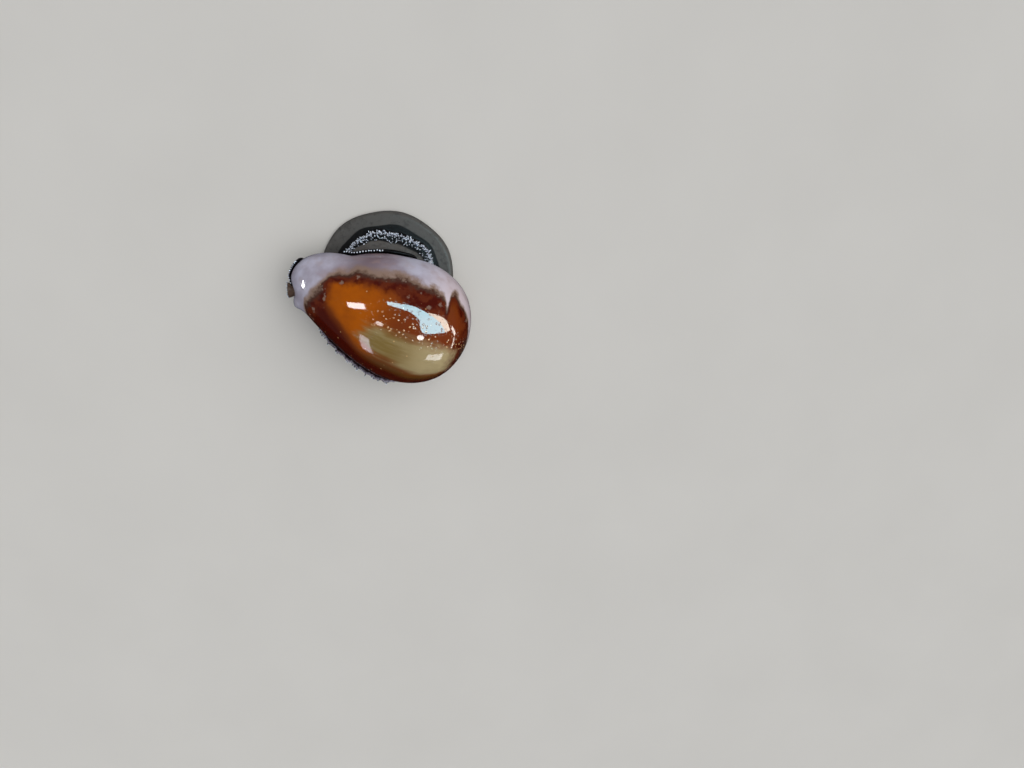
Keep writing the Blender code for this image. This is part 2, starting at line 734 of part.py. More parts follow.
def front_line(drop, off, count):
    """Points across the shell's front end at a drop below its widest line, moved off it."""
    y = np.linspace(LIP_START, LIP_END, count)
    x = np.array([front_reach(value, drop) for value in y])
    slope = np.gradient(x, y)
    size = np.hypot(1, slope)
    return np.stack([x + off / size, y - off * slope / size, middle_height(x) - drop], -1)


def make_front_lip():
    """The mantle's edge, which wraps the front of the shell from the siphon to the right."""
    inner = [front_line(drop, GAP, 10) for drop in LIP_DROPS]
    outer = [front_line(drop, GAP + LIP_THICKNESS, 10) for drop in reversed(LIP_DROPS)]
    rings = np.stack(inner + outer, axis=1)
    return lofted("lip", [to_floor(ring) for ring in rings])


def front_fringe():
    """Small papillae round the siphon's rim and along the lip."""
    path = np.array(SIPHON_PATH)
    ahead = path[-1] - path[-2]
    ahead /= np.linalg.norm(ahead)
    found = []
    for point in circle(path[-1], ahead, SIPHON_RADII[-1] - 0.5 * SIPHON_WALL, SIPHON_FRINGE, 1.0):
        outwards = ahead + 0.25 * (point - path[-1])
        found.append(make_papilla(point, outwards, 0.9 * PAPILLA_RADIUS, random.uniform(0.5, 0.8)))
    for point in front_line(LIP_DROPS[0], GAP + 0.5 * LIP_THICKNESS, LIP_FRINGE + 2)[1:-1]:
        length = random.uniform(0.4, 0.6)
        found.append(make_papilla(to_floor(point), (0.45, 0, 1), 0.9 * PAPILLA_RADIUS, length))
    return found


def make_siphon():
    """A short fringed tube in the canal, joined to the mantle's edge in front of the shell."""
    hollow = (SIPHON_DEPTH, SIPHON_WALL)
    siphon = tube("siphon", SIPHON_PATH, SIPHON_RADII, sides=16, hollow=hollow)
    combine(siphon, [make_front_lip(), *front_fringe()], "UNION", "MANIFOLD")
    combine(siphon, [make_shell_clearance()], "DIFFERENCE", "MANIFOLD")
    return siphon


def make_parts():
    made = {
        "shell": (make_shell(), make_material("shell enamel", (0.19, 0.08, 0.03), 0.12)),
        "foot": (make_foot(), make_material("pale foot", (0.24, 0.23, 0.21), 0.4)),
        "mantle_right": (make_right_lobe(), make_material("grey mantle", (0.09, 0.08, 0.08), 0.35)),
        "mantle_left": (make_left_lobe(), make_material("dark mantle", (0.05, 0.03, 0.035), 0.35)),
        "siphon": (make_siphon(), make_material("siphon", (0.08, 0.06, 0.05), 0.4)),
        "head": (make_head(), make_material("head", (0.12, 0.09, 0.08), 0.4)),
    }
    right_forms = [make_margin_fold(), *lobe_papillae(), *fold_papillae()]
    combine(made["mantle_right"][0], right_forms, "UNION", "MANIFOLD")
    combine(made["mantle_left"][0], collar_papillae(), "UNION", "MANIFOLD")
    for side in ("left", "right"):
        skin = make_material("tentacle " + side, (0.1, 0.08, 0.07), 0.4)
        made["tentacle_" + side] = (make_tentacle(side), skin)
        ball = make_ball("eye_" + side, eye_place(side), EYE_RADIUS)
        made["eye_" + side] = (ball, make_material("eye " + side, (0.01, 0.01, 0.012), 0.1))
    for thing, material in made.values():
        finish(thing, material)


clear_scene()
random.seed(SEED)
make_parts()
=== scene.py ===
import math
import bmesh
import bpy
import numpy as np
from mathutils import Matrix


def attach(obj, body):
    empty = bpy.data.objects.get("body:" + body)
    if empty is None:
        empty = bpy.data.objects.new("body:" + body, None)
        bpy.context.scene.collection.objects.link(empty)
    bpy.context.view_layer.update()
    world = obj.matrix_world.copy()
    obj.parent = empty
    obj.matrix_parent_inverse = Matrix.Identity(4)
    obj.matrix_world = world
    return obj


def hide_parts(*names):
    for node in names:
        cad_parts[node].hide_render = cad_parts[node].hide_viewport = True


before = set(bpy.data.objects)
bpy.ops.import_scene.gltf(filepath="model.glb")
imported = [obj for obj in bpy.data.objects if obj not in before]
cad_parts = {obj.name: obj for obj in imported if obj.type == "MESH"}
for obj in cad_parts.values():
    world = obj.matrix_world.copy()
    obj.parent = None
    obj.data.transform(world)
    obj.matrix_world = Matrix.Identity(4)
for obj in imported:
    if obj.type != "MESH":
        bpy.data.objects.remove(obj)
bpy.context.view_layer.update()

rng = np.random.default_rng(17)

# All shapes are worked out in millimetres and turned into metres when a mesh is made.
# The animal faces +X, its right side is -Y and its foot is flat on z = 0.
mm = 0.001
bothSides = ("left", "right")


def linear(red, green, blue):  # a colour as a picture stores it, 0 to 255, turned into light
    c = np.array([red, green, blue]) / 255
    return tuple(np.where(c <= 0.04045, c / 12.92, ((c + 0.055) / 1.055) ** 2.4)) + (1.0,)


def held(value):  # kept between 0 and 1
    return np.clip(value, 0, 1)


def smoothStep(low, high, value):  # 0 at low, 1 at high, and smooth between
    t = held((value - low) / (high - low))
    return t * t * (3 - 2 * t)


def hump(x, at, spread):  # a bell curve 1 high
    return np.exp(-(((x - at) / spread) ** 2))


def arch(x, rear, front, power, whole=1.0):  # 1 over the middle, down to about 0 at both ends
    middle = (front + rear) / 2
    return np.sqrt(held(1 - (whole * np.abs(x - middle) / (front - middle)) ** power))


def unit(vectors):  # each vector made 1 long
    return vectors / np.linalg.norm(vectors, axis=-1, keepdims=True)


def cosSin(angle):
    return math.cos(angle), math.sin(angle)


def fullTurn(count):  # evenly spaced angles once round
    return np.linspace(0, 2 * math.pi, count, endpoint=False)


# Meshes

# Rows of a grid of points joined by quads and closed round each row. Each end closes on its pole,
# or where it has none on the middle of its row.
def gridSurface(grid, first=None, last=None):
    rows, around = grid.shape[:2]
    here = np.arange(around)
    after = (here + 1) % around
    row = np.arange(rows - 1)[:, None] * around
    quads = np.stack([row + here, row + after, row + after + around, row + here + around], -1)
    first = grid[0].mean(0) if first is None else first
    last = grid[-1].mean(0) if last is None else last
    total = rows * around
    end = total - around
    fans = np.concatenate([np.stack([after, here, 0 * here + total], -1),
                           np.stack([end + here, end + after, 0 * here + total + 1], -1)])
    return np.concatenate([grid.reshape(-1, 3), [first, last]]), quads.reshape(-1, 4), fans


def sheetSurface(inner, outer):  # two faces of a sheet, joined along their edges
    return gridSurface(np.concatenate([inner, outer[:, ::-1]], 1))


def joined(surfaces):  # many surfaces as one list of points, quads and triangles
    points, quads, fans = zip(*surfaces)
    starts = np.cumsum([0] + [len(own) for own in points])
    moved = [np.concatenate([own + start for own, start in zip(faces, starts)]) for faces in (quads, fans)]
    return np.concatenate(points), *moved


def addObject(name, data):
    thing = bpy.data.objects.new(name, data)
    bpy.context.scene.collection.objects.link(thing)
    return thing


def makeMesh(name, surface, scale=mm):
    points, quads, fans = surface
    mesh = bpy.data.meshes.new(name)
    mesh.from_pydata((points * scale).tolist(), [], quads.tolist() + fans.tolist())
    work = bmesh.new()
    work.from_mesh(mesh)
    bmesh.ops.recalc_face_normals(work, faces=work.faces)
    work.to_mesh(mesh)
    work.free()
    mesh.shade_smooth()
    return addObject(name, mesh)


def addField(piece, name, values):  # a number at each point, which a material reads by name
    field = piece.data.attributes.new(name, "FLOAT", "POINT")
    field.data.foreach_set("value", np.ascontiguousarray(values, np.float32))


def adopt(piece, material, slot, *nodes):  # its look, its body, and the solids it stands for
    piece.data.materials.append(material)
    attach(piece, "root")
    if nodes:
        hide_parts(*nodes)


# Materials

class Nodes:  # short ways to add nodes to a tree
    def __init__(self, tree, prefix="ShaderNode"):
        self.tree = tree
        self.prefix = prefix

    def put(self, socket, value):  # a link where the value is an output, or else a fixed value
        if isinstance(value, bpy.types.NodeSocket):
            self.tree.links.new(value, socket)
        else:
            socket.default_value = value

    def node(self, kind, inputs=(), **settings):
        node = self.tree.nodes.new(self.prefix + kind)
        for name, value in settings.items():
            setattr(node, name, value)
        for name, value in dict(inputs).items():
            self.put(node.inputs[name], value)
        return node

    def math(self, operation, *values):
        return self.node("Math", enumerate(values), operation=operation).outputs[0]


class Finish(Nodes):  # a material on the Principled shader, with its colours by name
    def __init__(self, name, colours, **sockets):
        self.material = bpy.data.materials.new(name)
        self.material.use_nodes = True
        super().__init__(self.material.node_tree)
        self.colours = {key: linear(*value) for key, value in colours.items()}
        self.place = self.node("TexCoord").outputs["Object"]
        for socket, value in sockets.items():
            self.to(socket.replace("_", " "), value)

    def to(self, name, value):
        self.put(self.tree.nodes["Principled BSDF"].inputs[name], value)

    def field(self, name):
        return self.node("Attribute", attribute_name=name).outputs["Fac"]

    def times(self, value, *others):
        for other in others:
            value = self.math("MULTIPLY", value, other)
        return value

    def plus(self, base, value, amount):  # base + value x amount
        return self.math("MULTIPLY_ADD", value, amount, base)

    def mix(self, share, *pair):  # the first colour at 0, the second at 1; inputs 6 and 7 are colours
        a, b = (self.colours[value] if isinstance(value, str) else value for value in pair)
        return self.node("Mix", {0: share, 6: a, 7: b}, data_type="RGBA").outputs[2]

    def covered(self, colour, *layers):  # each layer is a share, and the colour that covers by it
        for share, cover in layers:
            colour = self.mix(share, colour, cover)
        return colour

    def between(self, value, low, high):  # 0 at low and 1 at high, clamped and smooth
        ends = {"Value": value, "From Min": low, "From Max": high}
        return self.node("MapRange", ends, interpolation_type="SMOOTHSTEP").outputs["Result"]

    def ramp(self, value, *stops):
        node = self.node("ValToRGB", {"Fac": value})
        line = node.color_ramp.elements
        while len(line) < len(stops):
            line.new(0.5)
        for element, (at, colour) in zip(line, stops):
            element.position = at
            element.color = self.colours[colour]
        return node.outputs["Color"]

    def noise(self, size, detail=3.0, place=None):  # size of its lumps in mm
        settings = {"Vector": place or self.place, "Scale": 1 / (size * mm), "Detail": detail}
        return self.node("TexNoise", settings).outputs["Fac"]

    def dots(self, size):  # distance from scattered points, in cells
        return self.node("TexVoronoi", {"Vector": self.place, "Scale": 1 / (size * mm)}).outputs["Distance"]

    def bump(self, height, strength, depth, under=None):  # depth in mm
        node = self.node("Bump", {"Strength": strength, "Distance": depth * mm, "Height": height})
        if under:
            self.put(node.inputs["Normal"], under)
        return node.outputs["Normal"]


# Shell surface, in the shell's own frame: x along it, y to the left, z up from the base

shell = {
    "length": 50.0, "height": 23.06, "rightWidth": 17.56, "leftWidth": 15.9, "marginHeight": 6.8,
    "crestX": -7.46, "tilt": 6.0, "lift": 4.2,
    "frontHeight": 2.64, "backHeight": 4.0, "frontDrop": 3.8, "backDrop": 4.0,
    "frontWidth": 0.313, "backWidth": 0.28, "upperPower": 2.15, "lowerPower": 2.9,
    "slotHalf": 2.1, "slotDepth": 7.0, "canalY": 2.7, "canalNotch": 1.5,
    "toothLength": 2.8, "toothHeight": 0.38, "teethRight": 20, "teethLeft": 18, "teethSpan": 38.0,
    "rings": 290, "domeSteps": 160, "baseSteps": 32, "slotSteps": 44,
}
halfLength = shell["length"] / 2
crestX = shell["crestX"]
tiltCos, tiltSin = cosSin(math.radians(shell["tilt"]))


def frontShare(x):  # 0 at the crest and 1 at the front end
    return held((x - crestX) / (halfLength - crestX))


def frontCap(x):  # 1 over most of the front, rounding off to 0 at its end
    return np.sqrt(1 - frontShare(x) ** 14)


# 1 at the crest, falling as (1 - t^power)^curve to a blunt share at each end, which rounds off to 0
def alongShell(x, front, back, frontPower, frontCurve, backPower, backCurve):
    ahead = frontShare(x)
    behind = held((crestX - x) / (halfLength + crestX))
    frontPart = (1 - front) * (1 - ahead**frontPower) ** frontCurve + front * frontCap(x)
    backPart = (1 - back) * (1 - behind**backPower) ** backCurve + back * np.sqrt(1 - behind**8)
    return np.where(x >= crestX, frontPart, backPart)


def planShare(x):  # half width as a share of the widest
    return alongShell(x, shell["frontWidth"], shell["backWidth"], 1.655, 1.297, 2.1, 0.666)


def rightHalf(x):
    swell = 1.54 * frontShare(x) ** 2 + 0.3 * hump(x, 21.8, 2.6) + 0.5 * hump(x, 18, 3)
    waist = 0.5 * hump(x, 11.8, 1.8) - 0.5 * hump(x, 4, 5)
    return shell["rightWidth"] * planShare(x) + (swell - waist) * frontCap(x)


def leftHalf(x):
    flange = 3.1 * hump(x, 22.8, 3) - 1.54 * frontShare(x) ** 2
    return shell["leftWidth"] * planShare(x) + flange * frontCap(x)


def halfWidth(x, side):  # of the left half where side is above 0, or else of the right
    return np.where(side > 0, leftHalf(x), rightHalf(x))


def middleHeight(x):  # the widest line, a little lower towards both ends
    return shell["marginHeight"] - (x / halfLength) ** 2


def domeHeight(x):
    full = shell["height"] - shell["marginHeight"]
    return full * alongShell(x, shell["frontHeight"] / full, shell["backHeight"] / full, 2, 0.8, 2.2, 0.62)


def baseDrop(x):
    full = shell["marginHeight"]
    return full * alongShell(x, shell["frontDrop"] / full, shell["backDrop"] / full, 2.6, 0.6, 2.6, 0.6)


def slotCentre(x):
    return -1 + (shell["canalY"] + 1) * held(x / halfLength) ** 2 + 3.4 * held(-x / halfLength) ** 2


def frontEnd(x, y, groove):  # moves points near the front: skewed back on the left, notched at the canal
    ramp = held((x - halfLength + 7) / 7) ** 2
    skew = 0.03 * np.clip(y + 2.5, 0, None) ** 2
    notch = shell["canalNotch"] * hump(y, shell["canalY"], 2.1)
    tips = 0.4 * hump(y, 7, 1.2) - 0.1 * hump(y, -1.5, 1.6)
    return x - (skew + notch - tips + 2.2 * groove) * ramp


def baseHeight(x, y):
    share = held(np.abs(y) / np.maximum(halfWidth(x, y), 1e-6))
    power = shell["lowerPower"]
    return middleHeight(x) - baseDrop(x) * (1 - share**power) ** (1 / power)


def slotAt(x):  # centre, half width and depth of the slot
    left, right = leftHalf(x), rightHalf(x)
    centre = np.clip(slotCentre(x), -0.35 * right, 0.42 * left)
    room = np.minimum(0.85 * left - centre, 0.85 * right + centre)
    half = np.maximum(np.minimum(shell["slotHalf"], 0.5 * room), 1e-4)
    depth = np.minimum(shell["slotDepth"], 0.55 * (domeHeight(x) + baseDrop(x)))
    return centre, half, depth


def toFloor(points):  # from the shell's frame to the model's: rolled by the tilt, then lifted
    x, y, z = np.moveaxis(points, -1, 0)
    return np.stack([x, tiltCos * y + tiltSin * z, tiltCos * z - tiltSin * y + shell["lift"]], -1)


def underside(x, y):  # height over the floor of the tilted base, above a point of the floor
    own = y
    for _ in range(6):
        own = (y - tiltSin * baseHeight(x, own)) / tiltCos
    return tiltCos * baseHeight(x, own) - tiltSin * own + shell["lift"]


# A point of the shell's section and the direction away from it there. Level is -1 at the base,
# 0 at the widest line and 1 at the crest, and side is 1 on the left.
def section(x, level, side):
    def at(value):
        bend = np.abs(value) * math.pi / 2
        power = np.where(value >= 0, 2 / shell["upperPower"], 2 / shell["lowerPower"])
        rise = np.where(value >= 0, domeHeight(x), -baseDrop(x)) * np.sin(bend) ** power
        across = side * halfWidth(x, side) * np.sign(np.cos(bend)) * np.abs(np.cos(bend)) ** power
        return np.stack([across, middleHeight(x) + rise], -1)
    slope = at(level + 0.004) - at(level - 0.004)
    return at(level), unit(side * np.stack([slope[..., 1], -slope[..., 0]], -1))


def offShell(x, level, side, off):  # a point moved off the shell's surface, straight away from it
    here, out = section(x, level, side)
    point = here + out * (0 * level + off)[..., None]
    return toFloor(np.concatenate([(x + 0 * level)[..., None], point], -1))


# Rounded ridges across a lip of the slot: a raised cosine along x, which fades out from the slot.
def teethRelief(x, out, slot, count):
    pitch = shell["teethSpan"] / (count - 1)
    ridge = held(0.5 + 0.5 * np.cos(2 * math.pi * (x + shell["teethSpan"] / 2) / pitch)) ** 1.3
    inSpan = smoothStep(0.6, 0.0, np.abs(x) - shell["teethSpan"] / 2)
    fade = smoothStep(1.35 * slot + shell["toothLength"], 1.1 * slot, out)
    return shell["toothHeight"] * ridge * inSpan * smoothStep(0.55, 1.0, out / slot) * fade


# Superellipse sections along x. Over the dome y = half cos(t)^p and z = rise sin(t)^p. Below, the
# base runs in to the slot, which a steep bell curve sinks, with tooth ridges on both its lips.
def makeShell():
    share = np.linspace(-1, 1, shell["rings"] + 2)[1:-1]
    reach = np.where(share > 0, halfLength - crestX, halfLength + crestX)
    x = (crestX + reach * np.sin(share * math.pi / 2))[:, None]
    turn = np.linspace(0, math.pi, shell["domeSteps"])[None]
    across, power = np.cos(turn), 2 / shell["upperPower"]
    domeY = halfWidth(x, across) * np.sign(across) * np.abs(across) ** power
    domeZ = middleHeight(x) + domeHeight(x) * np.abs(np.sin(turn)) ** power
    centre, slot, depth = slotAt(x)
    bend = np.linspace(0, math.pi / 2, shell["baseSteps"] + 2)[1:-1][None]
    rightIn = 1 - np.cos(bend) ** (2 / shell["lowerPower"])
    leftIn = rightIn[:, ::-1]
    inSlot = np.linspace(-1.5, 1.5, shell["slotSteps"])[None]
    rightY = -rightHalf(x) + (centre - 1.5 * slot + rightHalf(x)) * rightIn
    leftY = leftHalf(x) + (centre + 1.5 * slot - leftHalf(x)) * leftIn
    baseY = np.concatenate([rightY, centre + inSlot * slot, leftY], 1)
    groove = np.exp(-np.abs((baseY - centre) / slot) ** 6)
    teeth = np.where(baseY < centre, shell["teethRight"], shell["teethLeft"])
    relief = teethRelief(x, np.abs(baseY - centre), slot, teeth)
    y = np.concatenate([domeY, baseY], 1)
    z = np.concatenate([domeZ, baseHeight(x, baseY) + depth * groove - relief], 1)
    grooves = np.concatenate([0 * domeY, groove], 1)
    alongX = x + 0 * y
    grid = np.stack([frontEnd(alongX, y, grooves), y, z], -1)
    ends = np.array([-halfLength, halfLength])
    poles = toFloor(np.stack([frontEnd(ends, 0, 0), 0 * ends, middleHeight(ends)], -1))
    piece = makeMesh("shellEnamel", gridSurface(toFloor(grid), *poles))
    # degrees round the section: 0 at the right margin, 90 at the crest and 180 at the left margin
    flat = 0 * inSlot
    degrees = np.concatenate([180 - np.degrees(turn), -80 * rightIn, flat - 90, 180 + 80 * leftIn], 1)
    base = np.concatenate([0 * turn, rightIn, flat + 1, leftIn], 1)
    markShell(piece, alongX, z, degrees + 0 * y, base + 0 * y, grooves)
    return piece


marking = {
    "rightEdge": 37.0, "leftEdge": 160.0,  # degrees round the section where the brown saddle ends
    "frontX": 18.9, "rearX": -24.75, "blurFront": (17.0, 18.4),
    "oliveRight": 84.0, "oliveLeft": 107.0, "oliveFront": 3.0,
    # flankStart and flankWidth place the left side's colours and its painted shade
    "flankStart": 104.0, "flankWidth": 34.0, "rearHeight": 8.7,
}


# Fields for the shell's marking. inside is the depth in mm within the brown saddle. Its right edge
# keeps to one angle, swings up to the crest at the front and dips in a lobe near the rear. Painted
# shade on the left side climbs nearer the crest towards the front. At the rear the saddle ends above the
# pole.
def markShell(piece, x, z, degrees, base, grooves):
    swing = np.clip((x - 10) / (marking["frontX"] - 10), 0, None)
    rear = np.clip((-x - 16) / 9, 0, None)
    leaning = x + 0.06 * np.clip(degrees - 28, 0, 32)
    right = marking["rightEdge"] + 60 * swing**2.6 - 12 * hump(leaning, -16.2, 1.6) + 58 * rear**6
    right = right - 5 * smoothStep(-15, -18, x) + 15 * hump(leaning, -14.1, 0.65) - 4 * hump(x, -1.5, 3)
    left = marking["leftEdge"] - 60 * swing**4 - 28 * rear**2
    near, far = marking["blurFront"]
    ahead = 1.25 * (near + (far - near) * smoothStep(85, 108, degrees) - x)
    inside = 0.3 * np.minimum(degrees - right, left - degrees)
    inside = np.minimum(np.minimum(inside, 1.2 * (x - marking["rearX"])), ahead)
    inside = np.where(x < -17, np.minimum(inside, z - marking["rearHeight"]), inside)
    inside = np.where(base > 0, np.minimum(inside, -1.0), inside)
    atPole = smoothStep(-24.97, -24.0, x)
    olive = smoothStep(marking["oliveRight"] - 14, marking["oliveRight"] + 12, degrees)
    oliveLeft = marking["oliveLeft"] + 12 * smoothStep(-4, -16, x)
    olive = olive * smoothStep(oliveLeft + 14, oliveLeft - 10, degrees)
    olive = olive * smoothStep(marking["oliveFront"] + 5, marking["oliveFront"] - 5, x)
    start = marking["flankStart"] - 28 * smoothStep(0, 13, x) + 8 * smoothStep(-6, -14, x)
    width = marking["flankWidth"] - 14 * smoothStep(11, 14.5, x)
    fields = {"inside": inside, "olive": olive, "shadedFlank": smoothStep(start, start + width, degrees),
              "front": smoothStep(-6, 5, x), "middle": hump(x, 6.5, 8.0), "rear": smoothStep(-4, -18, x),
              "base": base * atPole, "groove": grooves * atPole, "turned": degrees / 180}
    for name, values in fields.items():
        addField(piece, name, np.concatenate([values.ravel(), [values[0].mean(), values[-1].mean()]]))


enamel = {
    "lilac": (204, 203, 222), "greyLilac": (174, 168, 184), "dusk": (118, 94, 100), "blush": (214, 199, 206),
    "rosy": (172, 144, 138), "beige": (146, 122, 108), "ivory": (214, 202, 194),
    "umber": (76, 50, 41), "chestnut": (96, 38, 18), "maroon": (74, 16, 5),
    "orange": (172, 86, 4), "redBrown": (120, 52, 20), "russet": (114, 52, 14),
    "olive": (130, 108, 60), "paleOlive": (164, 148, 108), "straw": (182, 164, 124), "amber": (98, 64, 26),
    # this colour paints stray dots, and painted glints on the dimples right of the crest
    "speck": (226, 178, 120),
}


def makeEnamel():
    f = Finish("glossy enamel", enamel, Roughness=0.3, Specular_IOR_Level=0.0, Coat_Weight=1.0,
               Coat_Roughness=0.03, Coat_IOR=1.5)
    front, rear, turned, side = (f.field(name) for name in ("front", "rear", "turned", "shadedFlank"))
    wander = f.math("SUBTRACT", f.noise(4.2, 2.0), 0.5)
    fine = f.math("SUBTRACT", f.noise(1.0), 0.5)
    depth = f.plus(f.plus(f.field("inside"), wander, 5.5), fine, 2.4)
    # the saddle's own colours: orange or red-brown, olive over the crest, amber and russet on the left side
    warm = f.mix(front, "redBrown", "orange")
    warm = f.mix(f.times(f.between(f.noise(6.0), 0.4, 0.68), 0.45), warm, "russet")
    streak = f.noise(1.3, place=f.node("Mapping", {"Vector": f.place, "Scale": (0.12, 1.0, 1.0)}).outputs[0])
    olive = f.mix(rear, "olive", "straw")
    olive = f.mix(f.times(f.between(streak, 0.38, 0.72), 0.6), olive, "paleOlive")
    oliveShare = f.plus(f.field("olive"), f.math("SUBTRACT", streak, 0.5), 0.7)
    # painted shade: the left side darkens to maroon where it turns from the light
    shadedFlank = f.covered("amber", (front, "russet"), (f.between(side, 0.2, 0.9), "maroon"))
    # its dark edge, which is broader behind the middle
    dark = f.covered("chestnut", (f.between(f.noise(2.6), 0.42, 0.6), "maroon"),
                     (f.between(depth, 2.4, 0.4), "umber"))
    band = f.plus(depth, f.math("MAXIMUM", front, f.between(rear, 0.6, 1.0)), 2.8)
    body = f.covered(warm, (f.between(oliveShare, 0.2, 0.9), olive),
                     (f.between(f.plus(side, wander, 0.35), -0.05, 0.45), shadedFlank))
    body = f.mix(f.between(band, 5.2, 9.0), dark, body)
    # painted glints: gold-coloured dots on the dimples right of the crest, and a few stray dots
    dimple = f.between(f.dots(1.0), 0.3, 0.15)
    behind = f.between(front, 1.0, 0.5)
    paintedGlints = f.times(f.between(turned, 0.37, 0.41), f.between(turned, 0.5, 0.43), behind,
                     f.between(f.noise(3.0, 1.0), 0.34, 0.48), dimple)
    specksAndGlints = f.math("MAXIMUM", paintedGlints, f.times(f.between(f.dots(2.4), 0.1, 0.05), 0.6))
    body = f.mix(specksAndGlints, body, "speck")
    # margins, dusky along the middle and paler at both ends, with a beige fringe, wider at the front
    pale = f.covered("lilac", (f.between(f.noise(5.5), 0.36, 0.7), "greyLilac"), (rear, "blush"),
                     (f.times(f.field("middle"), 0.85), "dusk"),
                     (f.times(f.between(f.noise(3.1, 2.0), 0.48, 0.76), 0.35), "rosy"),
                     (f.between(f.field("base"), 0.15, 0.6), "ivory"),
                     (f.between(f.field("groove"), 0.45, 1.0), "beige"))
    fringe = f.times(depth, f.plus(1.0, front, -0.45))
    whole = f.covered(pale, (f.between(fringe, -2.6, -0.3), "beige"), (f.between(depth, -1.1, 0.8), body))
    spots = f.times(f.between(f.plus(f.dots(2.9), fine, 0.9), 0.28, 0.12), f.between(depth, 5.4, 3.4),
                    f.between(depth, -0.4, 0.6), 0.7)
    f.to("Base Color", f.mix(spots, whole, "beige"))
    # the polish has fine pits, a band of larger dimples under the painted glints, and a slight waviness
    dimpled = f.times(f.between(turned, 0.31, 0.37), f.between(turned, 0.55, 0.46), behind, dimple)
    skin = f.bump(f.between(f.dots(0.5), 0.1, 0.3), 0.5, 0.01)
    skin = f.bump(dimpled, 1.0, 0.045, skin)
    skin = f.bump(f.noise(2.2, 1.0), 0.3, 0.02, skin)
    f.to("Normal", skin)
    f.to("Coat Normal", skin)
    return f.material


shellPiece = makeShell()
adopt(shellPiece, makeEnamel(), "shell_enamel", "shell")
print("shell made")


# Flesh: each part is a surface that overlaps its neighbours, and one skin is then wrapped over all

foot = {
    "centre": (1.4, -8.8), "length": 36.4, "width": 32.5, "yaw": 0.16, "rim": 2.0, "back": 2.55,
    "neckHalf": 1.3, "neckRear": -13.0, "neckFront": 13.3, "neckLow": -3.2,
}
mantle = {
    "thickness": 1.1, "clear": 0.75, "gap": 0.3,
    "lobeCentre": (1.6, -9.3), "lobeReach": (12.0, 11.5), "edgeHeight": 4.9,
    "turnFront": 22.0, "turnRear": -202.0, "rootHalf": 10.6, "rimShare": 0.94,
    "collarFlare": 1.7, "collarThickness": 0.8, "collarRear": -16.5, "collarFront": 18.0,
    "foldRear": -5.0, "foldFront": 15.2, "foldThickness": 0.85, "foldFoot": -0.62, "foldTop": -0.06,
    "hemRear": 12.0, "hemFront": 23.4, "hemFoot": -0.86, "hemTop": -0.46, "hemThickness": 0.65,
}
fieldNames = ("pale", "grey", "plum", "line", "tan")  # shares of each colour over the near-black flesh
skinWrap = {"faceSize": 0.24, "smoothing": 0.5, "rounds": 4}
yawCos, yawSin = cosSin(foot["yaw"])


def footShare(x, y):  # distance from the foot's centre as a share of its outline
    dx, dy = x - foot["centre"][0], y - foot["centre"][1]
    along, across = yawCos * dx + yawSin * dy, yawCos * dy - yawSin * dx
    return np.hypot(along / (foot["length"] / 2), across / (foot["width"] / 2))


def footPoint(turn, share):  # an oval with a slight wave along its edge, turned by the yaw
    wave = 1 + share**2 * (0.012 * np.sin(3 * turn + 0.7) + 0.008 * np.sin(7 * turn))
    u = foot["length"] / 2 * share * wave * np.cos(turn)
    v = foot["width"] / 2 * share * wave * np.sin(turn)
    return foot["centre"][0] + yawCos * u - yawSin * v, foot["centre"][1] + yawSin * u + yawCos * v


def footTop(x, y, share):  # falls from the back to the rim, and stays clear of the shell and mantle
    profile = foot["rim"] + (foot["back"] - foot["rim"]) * held((0.9 - share) / 0.3)
    return np.minimum(profile, underside(x, y) - mantle["clear"] - mantle["thickness"] - 1.3 * mantle["gap"])


# Rings of the foot's plan from the middle of its back, round the edge and to the middle of the sole
def footSurface():
    topRows, soleRows = 50, 22
    t = np.linspace(0, 1, 22)[1:]
    bulge = 0.92 + 0.08 * np.sqrt(1 - held(1 - t / 0.7) ** 2)
    edge = np.where(t < 0.7, bulge, 1 - 0.01 * ((t - 0.7) / 0.3) ** 2)
    share = [np.linspace(0.03, 0.92, topRows), edge, np.linspace(0.97, 0.05, soleRows)]
    share = np.concatenate(share)[:, None]
    turn = fullTurn(360)[None]
    x, y = footPoint(turn, share)
    top = footTop(x[:topRows], y[:topRows], share[:topRows])
    z = np.concatenate([top, top[-1:] * (1 - t[:, None]), 0 * x[-soleRows:]])
    pale = smoothStep(0.76, 0.82, share + 0.012 * np.sin(9 * turn))
    pale[-soleRows:] = 1.0
    return gridSurface(np.stack([x, y, z], -1)), {"pale": pale}


# The flesh that rises from the foot into the slot, as flat rounded sections along x
def neckSurface():
    x = np.linspace(foot["neckRear"], foot["neckFront"], 60)[:, None]
    end = arch(x, foot["neckRear"], foot["neckFront"], 6)
    centre = slotCentre(x)
    top = baseHeight(x, centre) + shell["slotDepth"] * (0.45 + 0.25 * end)
    share = np.linspace(0, 1, 16)[None]
    z = foot["neckLow"] + (top - foot["neckLow"]) * share
    half = foot["neckHalf"] * (0.55 + 0.45 * end) * np.sqrt(held(1 - 0.9 * share**8))
    right, left = (toFloor(np.stack([x + 0 * z, centre + way * half, z], -1)) for way in (-1, 1))
    return sheetSurface(right, left), {}


def lobeTurn(part):  # the angle round the right lobe's free edge, from front to rear
    return np.radians(mantle["turnFront"] + (mantle["turnRear"] - mantle["turnFront"]) * part)


